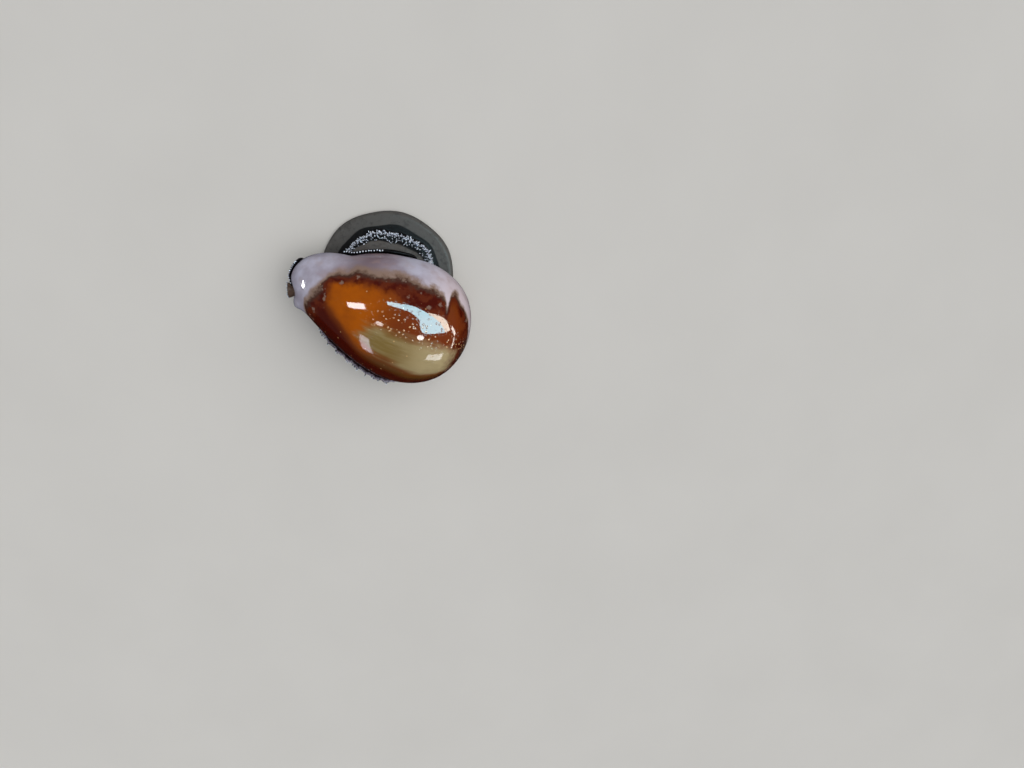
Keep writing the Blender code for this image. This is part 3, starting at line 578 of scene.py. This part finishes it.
# A point of the right lobe, whose free edge is an oval with a few soft waves. part runs along it from
# front to rear. out runs from 0 at its root to 1 where its top ends, then to 2 round the rolled rim
# down to the foot.
def lobePoint(part, out):
    turn = lobeTurn(part)
    wave = 1 + 0.05 * np.sin(2 * turn + 0.6) + 0.022 * np.sin(5 * turn) + 0.012 * np.sin(11 * turn)
    edgeX = mantle["lobeCentre"][0] + mantle["lobeReach"][0] * wave * np.cos(turn)
    edgeY = mantle["lobeCentre"][1] + mantle["lobeReach"][1] * wave * np.sin(turn)
    rootX = mantle["lobeCentre"][0] + mantle["rootHalf"] * np.cos(math.pi * part)
    rootY = slotCentre(rootX) - foot["neckHalf"] + 0.4
    rolled = math.pi * held(out - 1)
    share = mantle["rimShare"] * held(out) + (1 - mantle["rimShare"]) * np.sin(rolled)
    x, y = rootX + (edgeX - rootX) * share, rootY + (edgeY - rootY) * share
    dome = mantle["edgeHeight"] + 1.9 * (1 - held((share - 0.45) / 0.55) ** 2) + 0.5 * hump(share, 0.93, 0.07)
    folds = 0.05 * np.sin(17 * part * math.pi + 5 * share) * smoothStep(0.3, 0.8, share)
    top = np.minimum(dome + folds, underside(x, y) - mantle["clear"])
    low = footTop(x, y, footShare(x, y))
    return np.stack([x, y, top - 0.5 * (top - low) * (1 - np.cos(rolled))], -1)


def lobeSurface():  # its top and rolled rim, then back to the root just inside the foot
    part = np.linspace(0, 1, 300)[:, None]
    out = np.concatenate([np.linspace(0, 1, 46), np.linspace(1, 2, 15)[1:]])[None]
    back = np.linspace(1, 0, 20)[None]
    below = lobePoint(part, back)
    x, y, z = np.moveaxis(below, -1, 0)
    z[:] = footTop(x, y, footShare(x, y)) - 0.3
    grey = smoothStep(0.94, 0.86, np.concatenate([out, back], 1)) + 0 * part
    return gridSurface(np.concatenate([lobePoint(part, out), below], 1)), {"grey": grey}


def wrapped(x, levels, side, standOff, thick):  # a sheet that lies at some distance off the shell
    inner, outer = (offShell(x, levels, side, off) for off in (standOff, standOff + thick))
    return sheetSurface(inner, outer)


def foldLevel(x, share):  # how far up the shell's side the fold climbs, less towards its ends
    reach = arch(x, mantle["foldRear"], mantle["foldFront"], 4, 0.97)
    return mantle["foldFoot"] + (mantle["foldTop"] - mantle["foldFoot"]) * reach * share


def foldSurface():  # the fold of the right lobe that climbs to the shell's margin
    x = np.linspace(mantle["foldRear"], mantle["foldFront"], 120)[:, None]
    share = np.linspace(0, 1, 26)[None]
    thick = mantle["foldThickness"] * (0.5 + 0.5 * np.sqrt(1 - share**6))
    return wrapped(x, foldLevel(x, share), -1, mantle["gap"] + 0.1, thick), {}


def hemSurface():  # carries the fold on below the margin to the lip at the front
    x = np.linspace(mantle["hemRear"], mantle["hemFront"], 60)[:, None]
    levels = np.linspace(mantle["hemFoot"], mantle["hemTop"], 12)[None] + 0 * x
    return wrapped(x, levels, -1, mantle["gap"] + 0.1, mantle["hemThickness"]), {}


def collarLine(x, share):  # levels and stand-off of the left lobe, from its root to its free edge
    reach = arch(x, mantle["collarRear"], mantle["collarFront"], 5, 0.998)
    root = np.clip((slotCentre(x) + foot["neckHalf"] - 0.5) / leftHalf(x), 0.004, 0.98)
    rootLevel = -np.arccos(root ** (shell["lowerPower"] / 2)) * 2 / math.pi
    topLevel = rootLevel + 0.05 + (0.02 - rootLevel) * reach
    flare = mantle["collarFlare"] * reach * held((share - 0.55) / 0.45) ** 1.6
    flare = flare * (1 + 0.1 * np.sin(2.1 * x) + 0.06 * np.sin(4.7 * x))
    standOff = mantle["gap"] + 0.08 + (mantle["clear"] - mantle["gap"]) * held(1 - share / 0.35) + flare
    return rootLevel + (topLevel - rootLevel) * share, standOff


def collarSurface():  # the left lobe: from the slot under the base, then up round the margin, flared
    x = np.linspace(mantle["collarRear"], mantle["collarFront"], 200)[:, None]
    share = np.linspace(0, 1, 44)[None] ** 0.8
    levels, standOff = collarLine(x, share)
    thick = mantle["collarThickness"] * (0.5 + 0.5 * np.sqrt(1 - share**8))
    edge = np.concatenate([share, share[:, ::-1]], 1) + 0 * x
    # a pale rim at the free edge and, just inside it, a thin painted glint
    line = smoothStep(0.955, 0.99, edge) + 0.8 * hump(edge, 0.83, 0.02)
    return wrapped(x, levels, 1, standOff, thick), {"line": line, "plum": smoothStep(0.3, 0.6, edge)}


# Front end

siphon = {
    "path": [(12.3, 0.3, 8.0), (16.5, 1.5, 8.4), (20.6, 2.9, 8.6), (22.4, 3.6, 8.5), (24.2, 4.4, 8.5)],
    "radii": [1.0, 1.0, 1.1, 1.45, 2.1], "depth": 1.6, "wall": 0.6,
    "lipThickness": 0.6, "lipStart": 1.6, "lipEnd": -5.0, "lipDrops": (0.2, 3.1),
}
head = {
    "path": [(12.4, -0.3, 3.2), (13.75, -0.2, 3.25), (16.6, 0.3, 3.3), (19.4, 0.9, 2.9), (21.8, 1.3, 2.4)],
    "radii": [1.4, 1.5, 1.9, 2.35, 1.9], "squash": 0.72, "mouthY": 1.35,
    "left": [(19.1, 2.2, 3.1), (19.3, 3.5, 3.1), (20.0, 6.0, 2.7), (18.4, 8.6, 2.3), (15.4, 10.2, 2.1)],
    "right": [(19.6, -0.7, 3.1), (19.6, -1.9, 3.1), (20.6, -3.7, 3.0), (19.9, -5.5, 3.0), (18.2, -6.6, 3.1)],
    "tentacleRadii": [0.85, 0.85, 0.62, 0.5, 0.3],
    "eyeRadius": 0.42, "eyeOff": (0.95, 0.35, 0.55), "swelling": 0.75,  # the last is a radius behind each eye
}


def throughPoints(values, count):  # a Catmull-Rom curve through a few points, read evenly
    values = np.asarray(values, float)
    padded = np.concatenate([[2 * values[0] - values[1]], values, [2 * values[-1] - values[-2]]])
    at = np.linspace(0, len(values) - 1, count)
    index = np.minimum(at.astype(int), len(values) - 2)
    t = (at - index).reshape((-1,) + (1,) * (values.ndim - 1))
    a, b, c, d = (padded[index + k] for k in range(4))
    return 0.5 * (2 * b + (c - a) * t + (2 * a - 5 * b + 4 * c - d) * t**2 + (3 * b - a - 3 * c + d) * t**3)


def circles(centre, ahead, radius, sides, squash=1.0):  # one round section at each centre
    side = unit(np.cross(ahead, (0, 0, 1)))
    above = np.cross(side, ahead)
    turn = fullTurn(sides)[:, None]
    rim = np.cos(turn) * side[:, None] + squash * np.sin(turn) * above[:, None]
    return centre[:, None] + radius[:, None, None] * rim


# Round sections carried along a curve. The far end is a rounded tip, or a hollow of some depth
# inside a wall.
def tubeSurface(path, radii, sides, squash=1.0, hollow=None):
    centre, radius = throughPoints(path, 70), throughPoints(radii, 70)
    ahead = unit(np.gradient(centre, axis=0))
    if hollow:
        depth, wall = hollow
        back = np.array([-0.15, -0.2, -0.15, 0.0, 0.5 * depth, depth])
        size = np.array([0.97, 0.88, 0.78, 1 - wall / radius[-1], 0.66, 0.5]) * radius[-1]
    else:
        bend = np.linspace(0, math.pi / 2, 10)[1:-1]
        back, size = -0.8 * radius[-1] * np.sin(bend), radius[-1] * np.cos(bend)
    endAhead = np.repeat(ahead[-1:], len(back), 0)
    centre = np.concatenate([centre, centre[-1] - ahead[-1] * back[:, None]])
    grid = circles(centre, np.concatenate([ahead, endAhead]), np.concatenate([radius, size]), sides, squash)
    tip = centre[-1] - ahead[-1] * 0.1 if hollow else centre[-1] + ahead[-1] * 0.05 * radius[-1]
    return gridSurface(grid, None, tip)


def ballSurface(centre, radius, rows=24, around=32):  # latitude rings, with one radius or three
    fall = np.linspace(0, math.pi, rows + 2)[1:-1, None]
    turn = fullTurn(around)[None]
    ball = np.stack([np.sin(fall) * np.cos(turn), np.sin(fall) * np.sin(turn), np.cos(fall) + 0 * turn], -1)
    return gridSurface(centre + radius * ball)


def eyePlace(side):  # on the front of the tentacle's swollen base
    ahead, out, above = head["eyeOff"]
    return np.add(head[side][1], (ahead, out if side == "left" else -out, above))


def frontReach(y, drop):  # how far forward the shell reaches at a drop below its widest line
    x = halfLength - 4 * np.linspace(1, 0, 120)[:-1] ** 3
    depth = middleHeight(x) - baseHeight(x, y)
    return frontEnd(np.interp(drop, depth[::-1], x[::-1]), y, 0.0)


def lipPoints(drops, off, count):  # points across the shell's front end, moved off it
    y = np.linspace(siphon["lipStart"], siphon["lipEnd"], count)
    x = np.stack([frontReach(value, drops) for value in y])
    slope = np.gradient(x, y, axis=0)
    size = np.hypot(1, slope)
    return toFloor(np.stack([x + off / size, y[:, None] - off * slope / size, middleHeight(x) - drops], -1))


def lipSurface():  # the mantle's edge wrapped round the front of the shell, from the siphon to the right
    drops = np.linspace(*siphon["lipDrops"], 12)
    inner, outer = (lipPoints(drops, mantle["gap"] + off, 40) for off in (0, siphon["lipThickness"]))
    return sheetSurface(inner, outer), {}


# All the flesh joined, then wrapped in one skin of even faces that takes each colour's share from
# the nearest part, is smoothed, and is pressed in at the mouth and the eyes.
def makeSkin():
    tan = {"tan": 1.0}
    hollow = (siphon["depth"], siphon["wall"])
    parts = [footSurface(), neckSurface(), lobeSurface(), foldSurface(), hemSurface(), collarSurface(),
             lipSurface(), (tubeSurface(siphon["path"], siphon["radii"], 40, hollow=hollow), tan),
             (tubeSurface(head["path"], head["radii"], 48, head["squash"]), tan)]
    for side in bothSides:
        root = np.array(head[side][1])
        swelling = root + 0.3 * (eyePlace(side) - root)
        parts += [(tubeSurface(head[side], head["tentacleRadii"], 24), tan),
                  (ballSurface(swelling, head["swelling"]), tan)]
    source = makeMesh("fleshSource", joined([surface for surface, _ in parts]), 1.0)
    for name in fieldNames:
        values = []
        for surface, fields in parts:
            own = np.zeros(len(surface[0]) - 2) + np.ravel(fields.get(name, 0.0))
            values += [own, own[[0, -1]]]
        addField(source, name, np.concatenate(values))
    skin = addObject("fleshSkin", source.data.copy())
    wrap = skin.modifiers.new("wrap", "REMESH")
    wrap.mode = "VOXEL"
    wrap.voxel_size = skinWrap["faceSize"]
    relax = skin.modifiers.new("relax", "SMOOTH")
    relax.factor = skinWrap["smoothing"]
    relax.iterations = skinWrap["rounds"]
    carrier = fieldCarrier(source)
    skin.modifiers.new("carry", "NODES").node_group = carrier
    graph = bpy.context.evaluated_depsgraph_get()
    mesh = bpy.data.meshes.new_from_object(skin.evaluated_get(graph), depsgraph=graph)
    skin.modifiers.clear()
    skin.data = mesh
    bpy.data.objects.remove(source, do_unlink=True)
    bpy.data.node_groups.remove(carrier)
    points = np.empty(len(mesh.vertices) * 3, np.float32)
    mesh.vertices.foreach_get("co", points)
    points = pressIn(points.reshape(-1, 3).astype(float))
    mesh.vertices.foreach_set("co", np.ascontiguousarray(points * mm, np.float32).ravel())
    mesh.update()
    mesh.shade_smooth()
    print("skin points", len(points))
    return skin


def fieldCarrier(source):  # geometry nodes that read each field at the source's nearest surface
    tree = bpy.data.node_groups.new("carry fields", "GeometryNodeTree")
    for way in ("INPUT", "OUTPUT"):
        tree.interface.new_socket("Geometry", in_out=way, socket_type="NodeSocketGeometry")
    n = Nodes(tree, "GeometryNode")
    flow = tree.nodes.new("NodeGroupInput").outputs["Geometry"]
    origin = n.node("ObjectInfo", {"Object": source}).outputs["Geometry"]
    for name in fieldNames:
        read = n.node("InputNamedAttribute", {"Name": name}, data_type="FLOAT").outputs["Attribute"]
        near = n.node("SampleNearestSurface", {"Mesh": origin, "Value": read}, data_type="FLOAT")
        kept = {"Geometry": flow, "Name": name, "Value": near.outputs["Value"]}
        flow = n.node("StoreNamedAttribute", kept, data_type="FLOAT", domain="POINT").outputs["Geometry"]
    tree.links.new(flow, tree.nodes.new("NodeGroupOutput").inputs["Geometry"])
    return tree


def pressIn(points):  # a mouth slit in the snout's tip, and a socket round each eye
    x, y, z = points.T
    slit = hump(y, head["mouthY"], 0.3) * smoothStep(21.4, 22.6, x)
    points[:, 0] = x - 0.9 * slit * smoothStep(0.5, 0.9, z) * smoothStep(3.2, 2.7, z)
    socket = head["eyeRadius"] + 0.06
    for side in bothSides:
        eye = eyePlace(side)
        away = points - eye
        distance = np.linalg.norm(away, axis=1, keepdims=True)
        pushed = eye + away / np.maximum(distance, 1e-6) * socket
        points = np.where(distance < socket, pushed, points)
    points[:, 2] = np.maximum(points[:, 2], 0.0)
    return points


flesh = {
    "black": (14, 9, 10), "pale": (84, 82, 80), "grey": (92, 87, 84), "plum": (52, 34, 40),
    # the pale colour of the left lobe's rim and of a thin painted glint along it
    "line": (176, 172, 188), "tan": (96, 76, 64), "fleck": (150, 132, 116),
}


def makeFlesh():
    f = Finish("wet flesh", flesh, Roughness=0.5, Specular_IOR_Level=0.06, Coat_Weight=0.02,
               Coat_Roughness=0.2, Subsurface_Weight=0.12, Subsurface_Radius=(1.6, 1.1, 0.9),
               Subsurface_Scale=0.6 * mm)
    mottle, fine = f.noise(1.3, 4.0), f.noise(0.35, 2.0)
    uneven = f.math("SUBTRACT", mottle, 0.5)
    shares = [(f.between(f.plus(f.field(name), uneven, 0.35), 0.25, 0.75), name)
              for name in ("pale", "grey", "plum", "tan")]
    flecks = f.times(f.between(f.dots(0.55), 0.3, 0.14), f.between(f.noise(1.8, 2.0), 0.42, 0.6),
                     f.plus(0.04, f.field("tan"), 0.5))
    # the left lobe's pale rim and thin painted glint, broken up by fine noise
    line = f.times(f.between(f.field("line"), 0.3, 0.9), f.between(fine, 0.35, 0.6))
    dusty = f.times(f.between(mottle, 0.5, 0.75), 0.4)
    f.to("Base Color", f.covered("black", *shares, (dusty, "black"), (flecks, "fleck"), (line, "line")))
    pores = f.bump(fine, 0.35, 0.08)
    f.to("Normal", f.bump(f.noise(1.0), 0.3, 0.15, pores))
    return f.material


skinPiece = makeSkin()
adopt(skinPiece, makeFlesh(), "foot_flesh", "foot", "mantle_right", "mantle_left", "siphon", "head",
      "tentacle_left", "tentacle_right")
print("skin made")


# Papillae: blunt cones that stand on the mantle. Each group gives their roots, directions, lengths,
# radii and places on the unwrapped mantle.

papilla = {
    "rootDepth": 0.25, "sides": 6, "patch": 0.003,  # how wide each one's patch is on the UV map
    "heights": [0.0, 0.35, 0.75, 0.93], "widths": [1.15, 0.85, 0.66, 0.42], "sway": 0.22,
    "ridge": 460, "rows": 5, "beads": 15, "collar": 96, "siphonRim": 18, "lip": 11,
    # the gleam and tip colours are pale tips with a painted glint of wet flesh on them
    "colours": {"root": (12, 8, 9), "shaft": (22, 18, 22), "gleam": (150, 160, 182), "tip": (228, 234, 246)},
}


def mapStrip(along, across, low, high):  # a strip of the unwrapped mantle, from shares along and across it
    return np.stack(np.broadcast_arrays(0.03 + 0.94 * along, low + (high - low) * across), -1)


def ridgePapillae():  # a dense band along the right lobe's free edge
    perRow = papilla["ridge"] // papilla["rows"]
    part = (np.arange(perRow)[None] + rng.uniform(0, 1, (papilla["rows"], perRow))) / perRow
    out = np.linspace(0.93, 1.15, papilla["rows"])[:, None] + rng.uniform(-0.04, 0.04, part.shape)
    part, out = part.ravel(), out.ravel()
    roots, turn = lobePoint(part, out), lobeTurn(part)
    lean = np.interp(out, [0.8, 1.0, 1.2], [0.15, 0.6, 1.3])
    directions = np.stack([lean * np.cos(turn), lean * np.sin(turn), np.ones_like(turn)], -1)
    lengths, radii = rng.uniform(0.55, 1.2, len(part)), rng.uniform(0.14, 0.25, len(part))
    places = mapStrip(part, (out - 0.8) / 0.4, 0.05, 0.45)
    keep = underside(roots[:, 0], roots[:, 1]) - roots[:, 2] > lengths + 0.45
    return [values[keep] for values in (roots, directions, lengths, radii, places)]


def rooted(x, level, side, off):  # points off the shell, and the directions away from it there
    point = offShell(x, level, side, off)
    return point, unit(point - offShell(x, level, side, 0.0))


def foldBeads():  # a row of beads along the front of the fold on the right margin
    x = np.linspace(mantle["foldFront"] - 10.2, mantle["foldFront"] - 1.0, papilla["beads"])
    point, away = rooted(x, foldLevel(x, 1), -1, mantle["gap"] + 0.1 + 0.5 * mantle["foldThickness"])
    lengths, radii = rng.uniform(0.3, 0.5, len(x)), rng.uniform(0.2, 0.3, len(x))
    return point, 0.4 * away + (0, 0, 1), lengths, radii, mapStrip(x / shell["length"] + 0.5, 0.5, 0.48, 0.54)


def collarPapillae():  # rows on the outer face of the left lobe, below its free edge
    count = papilla["collar"]
    x = rng.uniform(mantle["collarRear"] + 4.5, mantle["collarFront"] - 2.5, count)
    share = rng.choice([0.98, 0.93, 0.87, 0.8], count) + rng.uniform(-0.015, 0.01, count)
    level, standOff = collarLine(x, share)
    point, away = rooted(x, level, 1, standOff + 0.8 * mantle["collarThickness"])
    lengths, radii = rng.uniform(0.35, 0.75, count), rng.uniform(0.12, 0.19, count)
    places = mapStrip(x / shell["length"] + 0.5, (share - 0.75) / 0.25, 0.58, 0.78)
    return point, away + (0, 0, 0.4), lengths, radii, places


def siphonFringe():  # a ring along the middle of the siphon's rim
    count = papilla["siphonRim"]
    before, end = np.array(siphon["path"][-2:])
    ahead = unit(end - before)
    radius = np.array([siphon["radii"][-1] - 0.5 * siphon["wall"]])
    rim = circles(end[None], ahead[None], radius, count)[0]
    places = mapStrip(np.arange(count) / count, 0.5, 0.82, 0.88)
    return rim, ahead + 0.25 * (rim - end), rng.uniform(0.4, 0.75, count), np.full(count, 0.17), places


def lipFringe():  # a row along the upper edge of the lip
    count = papilla["lip"]
    off = mantle["gap"] + 0.5 * siphon["lipThickness"]
    roots = lipPoints(np.array(siphon["lipDrops"][:1]), off, count + 2)[1:-1, 0]
    directions = np.tile((0.3, 0.0, 1.0), (count, 1))
    places = mapStrip(np.arange(count) / count, 0.5, 0.92, 0.98)
    return roots, directions, rng.uniform(0.4, 0.6, count), np.full(count, 0.22), places


# One mesh of many cones. Along each, the radius falls from a broad root to a rounded tip, and the
# axis bends from its own direction to a random one: point = root + length (t direction + t^2 sway)
# + radius. Each cone unwraps to a small disc at its place.
def makePapillae():
    groups = [ridgePapillae(), foldBeads(), collarPapillae(), siphonFringe(), lipFringe()]
    roots, directions, lengths, radii, places = (np.concatenate(values) for values in zip(*groups))
    count, sides, depth = len(roots), papilla["sides"], papilla["rootDepth"]
    print("papillae", count)
    t, size = (np.array(papilla[name])[None, :, None, None] for name in ("heights", "widths"))
    directions = unit(directions)
    side = unit(np.cross(directions, (0.3, 0.2, 1.0)))
    other = np.cross(directions, side)
    turn = fullTurn(sides)[None, None, :, None]
    rim = np.cos(turn) * side[:, None, None] + np.sin(turn) * other[:, None, None]
    sway = rng.normal(0, papilla["sway"], (count, 3))[:, None, None]
    length = lengths[:, None, None, None]
    axis = directions[:, None, None] * (t * length - depth * (t == 0)) + sway * length * t**2
    grid = roots[:, None, None] + axis + radii[:, None, None, None] * size * rim
    tips = roots + (directions + sway[:, 0, 0]) * lengths[:, None]
    cones = zip(grid, roots - directions * depth, tips)
    piece = makeMesh("mantlePapillae", joined([gridSurface(one, bottom, tip) for one, bottom, tip in cones]))
    along = np.append(np.repeat(t.ravel(), sides), [0.0, 1.0])
    addField(piece, "along", np.tile(along, count))
    addField(piece, "tone", np.repeat(rng.uniform(0, 1, count), len(along)))
    disc = papilla["patch"] / 2 * (1 - 0.8 * t) * np.concatenate([np.cos(turn), np.sin(turn)], -1)
    disc = np.concatenate([disc.reshape(-1, 2), np.zeros((2, 2))])
    onMap = (places[:, None] + disc).reshape(-1, 2)
    corners = np.empty(len(piece.data.loops), np.int32)
    piece.data.loops.foreach_get("vertex_index", corners)
    unwrap = piece.data.uv_layers.new(name="OFBake")
    unwrap.data.foreach_set("uv", onMap[corners].astype(np.float32).ravel())
    return piece


def makePapillaSkin():
    f = Finish("papilla skin", papilla["colours"], Roughness=0.3, Specular_IOR_Level=0.4, Coat_Weight=0.6,
               Coat_Roughness=0.08)
    shade = f.plus(f.plus(f.field("along"), f.field("tone"), 0.35), f.noise(0.3, 2.0), 0.2)
    # towards the tip the colour brightens to bluish white: pale flesh with a painted glint
    f.to("Base Color", f.ramp(shade, (0.0, "root"), (0.55, "shaft"), (0.82, "gleam"), (1.0, "tip")))
    f.to("Normal", f.bump(f.noise(0.2, 2.0), 0.3, 0.04))
    return f.material


papillaPiece = makePapillae()
adopt(papillaPiece, makePapillaSkin(), "mantle_dark")
print("papillae made")


# Eyes: slightly flattened dark balls with faint paler patches

def makeEye(side):
    radii = head["eyeRadius"] * np.array([1.0, 0.97, 0.94])
    piece = makeMesh("eyeBall_" + side, ballSurface(eyePlace(side), radii, 30, 40))
    f = Finish("eye " + side, {"dark": (10, 9, 12), "paler": (30, 24, 26)}, Roughness=0.08, IOR=1.4,
               Coat_Weight=1.0, Coat_Roughness=0.03)
    f.to("Base Color", f.ramp(f.noise(0.25, 2.0), (0.35, "dark"), (0.7, "paler")))
    adopt(piece, f.material, "eye_black", "eye_" + side)


for side in bothSides:
    makeEye(side)
print("eyes made")


# Floor, light and camera

stage = {
    "view": {"place": (4.94, -50.33, 207.87), "aim": (-41.71, 6.86, 10.0), "roll": 163.0, "lens": 26.02},
    "floorSize": 20000.0, "floorColours": {"pale": (214, 212, 208), "patch": (206, 204, 200)},
    "sun": {"from": (-0.35, -0.45, 1.0), "strength": 1.7, "spread": 70.0, "colour": (1.0, 0.985, 0.96)},
    # the last is how much of it reflections see
    "world": {"above": 0.42, "below": 0.04, "colour": (0.93, 0.96, 1.0, 1.0), "inGloss": 0.2},
    "round": ("frontSpot", "crownSpot", "midSpot"),
    "target": (0, 0, 20),
    # soft boxes that only the gloss sees: centre, long and short side, way of the long side,
    # brightness, colour
    "boxes": {
        "second": ((193, -12, 275), 81, 52, (-0.68, -0.54, 0.50), 20.0, (1.0, 1.0, 1.0)),
        "leftPanel": ((88, 258, 190), 165, 43, (-0.26, 0.60, -0.76), 7.0, (0.86, 0.82, 0.95)),
        "rearLow": ((-265, 152, 118), 150, 50, (-0.41, -0.26, -0.87), 7.0, (0.95, 0.97, 1.0)),
        "rearEdge": ((-325, -38, 40), 90, 23, (-0.11, 0.68, -0.73), 16.0, (1.0, 0.95, 0.86)),
        "rearStrip": ((-128, 15, 15), 26, 5, (0.14, 0.96, -0.26), 16.0, (1.0, 0.95, 0.86)),
        "frontSpot": ((325, 57, 20), 62, 36, (-0.27, 0.95, 0.13), 22.0, (1.0, 1.0, 1.0)),
        "crownSpot": ((-151, 60, 307), 62, 42, (1, 0, 0), 18.0, (1.0, 0.98, 0.96)),
        "midSpot": ((80, 68, 333), 36, 34, (1, 0, 0), 11.0, (1.0, 0.96, 0.92)),
    },
    # tapered panels between two edges, that only the gloss sees: the main window and the glare by it
    "panels": {
        "window": {
            "upper": [(91, -157, 296), (-4, -189, 291), (-111, -175, 277), (-252, -104, 206),
                      (-302, -28, 149)],
            "lower": [(84, -132, 311), (-9, -131, 323), (-95, -88, 324), (-116, -36, 328), (-161, 13, 308),
                      (-265, -14, 217)],
            "brightness": 19.0, "colour": (0.51, 0.88, 1.0, 1.0),
        },
        "glare": {
            "upper": [(-138, -172, 266), (-214, -168, 212), (-296, -137, 150), (-334, -48, 96)],
            "lower": [(-145, -161, 265), (-208, -132, 234), (-254, -102, 204), (-303, -30, 147)],
            "brightness": 17.0, "colour": (1.0, 0.92, 0.78, 1.0),
        },
    },
}


def placed(thing, right, back, at):  # turns an object to two axes and their third, and moves it, in mm
    axes = np.eye(4)
    axes[:3] = np.stack([right, np.cross(back, right), back, np.asarray(at) * mm], -1)
    thing.matrix_world = Matrix(axes.tolist())


def hide(thing, *rays):
    for ray in rays:
        setattr(thing, "visible_" + ray, False)


def makeCamera():  # looks from its place to its aim, and is then rolled
    view = stage["view"]
    ahead = unit(np.subtract(view["aim"], view["place"]))
    level = unit(np.cross(ahead, (0, 0, 1)))
    c, s = cosSin(math.radians(view["roll"]))
    camera = addObject("camera", bpy.data.cameras.new("camera"))
    camera.data.lens = view["lens"]
    camera.data.sensor_width = 36.0
    camera.data.clip_start = 0.005
    placed(camera, c * level + s * np.cross(level, ahead), -ahead, view["place"])
    bpy.context.scene.camera = camera


def makeBox(name, centre, long, short, way, brightness, colour):  # power = brightness x pi x area
    lamp = bpy.data.lights.new(name, "AREA")
    lamp.shape = "ELLIPSE" if name in stage["round"] else "RECTANGLE"
    lamp.size, lamp.size_y = long * mm, short * mm
    lamp.energy = brightness * math.pi * lamp.size * lamp.size_y
    lamp.color = colour
    box = addObject(name, lamp)
    back = unit(np.subtract(centre, stage["target"]))
    placed(box, unit(np.asarray(way) - back * np.dot(way, back)), back, centre)
    hide(box, "camera", "diffuse")


def makePanel(name, panel):  # rows of quads between the panel's two edges
    upper, lower = (throughPoints(panel[edge], 41) for edge in ("upper", "lower"))
    here = np.arange(40)
    quads = np.stack([here, here + 1, here + 42, here + 41], -1)
    sheet = makeMesh(name, (np.concatenate([upper, lower]), quads, quads[:0]))
    glow = bpy.data.materials.new(name + " glow")
    glow.use_nodes = True
    n = Nodes(glow.node_tree)
    shine = n.node("Emission", {"Color": panel["colour"], "Strength": panel["brightness"]})
    n.put(n.tree.nodes["Material Output"].inputs["Surface"], shine.outputs[0])
    sheet.data.materials.append(glow)
    hide(sheet, "camera", "diffuse", "shadow", "transmission")


def makeSun():  # an even, soft light from above, left out of the reflections
    sun = stage["sun"]
    lamp = bpy.data.lights.new("sun", "SUN")
    lamp.energy = sun["strength"]
    lamp.angle = math.radians(sun["spread"])
    lamp.color = sun["colour"]
    light = addObject("sun", lamp)
    back = unit(sun["from"])
    placed(light, unit(np.cross((0, 1, 0), back)), back, np.asarray(sun["from"]) * 500)
    hide(light, "glossy")


def makeWorld():  # pale above the horizon and dark below it, and dimmer where reflections see it
    look = stage["world"]
    world = bpy.data.worlds.new("studio")
    world.use_nodes = True
    n = Nodes(world.node_tree)
    height = n.node("SeparateXYZ", {0: n.node("TexCoord").outputs["Generated"]}).outputs["Z"]
    sky = n.node("MapRange", {"Value": height, "From Min": -0.1, "From Max": 0.03, "To Min": look["below"],
                              "To Max": look["above"]}).outputs["Result"]
    inGloss = n.node("LightPath").outputs["Is Glossy Ray"]
    dimmer = n.math("MULTIPLY_ADD", inGloss, look["inGloss"] - 1, 1.0)
    background = n.tree.nodes["Background"]
    n.put(background.inputs["Color"], look["colour"])
    n.put(background.inputs["Strength"], n.math("MULTIPLY", sky, dimmer))
    bpy.context.scene.world = world


def makeFloor():
    half = stage["floorSize"] / 2 * mm
    corners = [(-half, -half, 0), (half, -half, 0), (half, half, 0), (-half, half, 0)]
    mesh = bpy.data.meshes.new("floor")
    mesh.from_pydata(corners, [], [(0, 1, 2, 3)])
    floor = addObject("floor", mesh)
    f = Finish("studio floor", stage["floorColours"], Roughness=0.9, Specular_IOR_Level=0.0)
    f.to("Base Color", f.mix(f.noise(40), "pale", "patch"))
    mesh.materials.append(f.material)
    hide(floor, "glossy")


makeCamera()
makeFloor()
for name, panel in stage["panels"].items():
    makePanel(name, panel)
for name, box in stage["boxes"].items():
    makeBox(name, *box)
makeSun()
makeWorld()
bpy.context.scene.view_settings.view_transform = "Standard"
print("stage made")
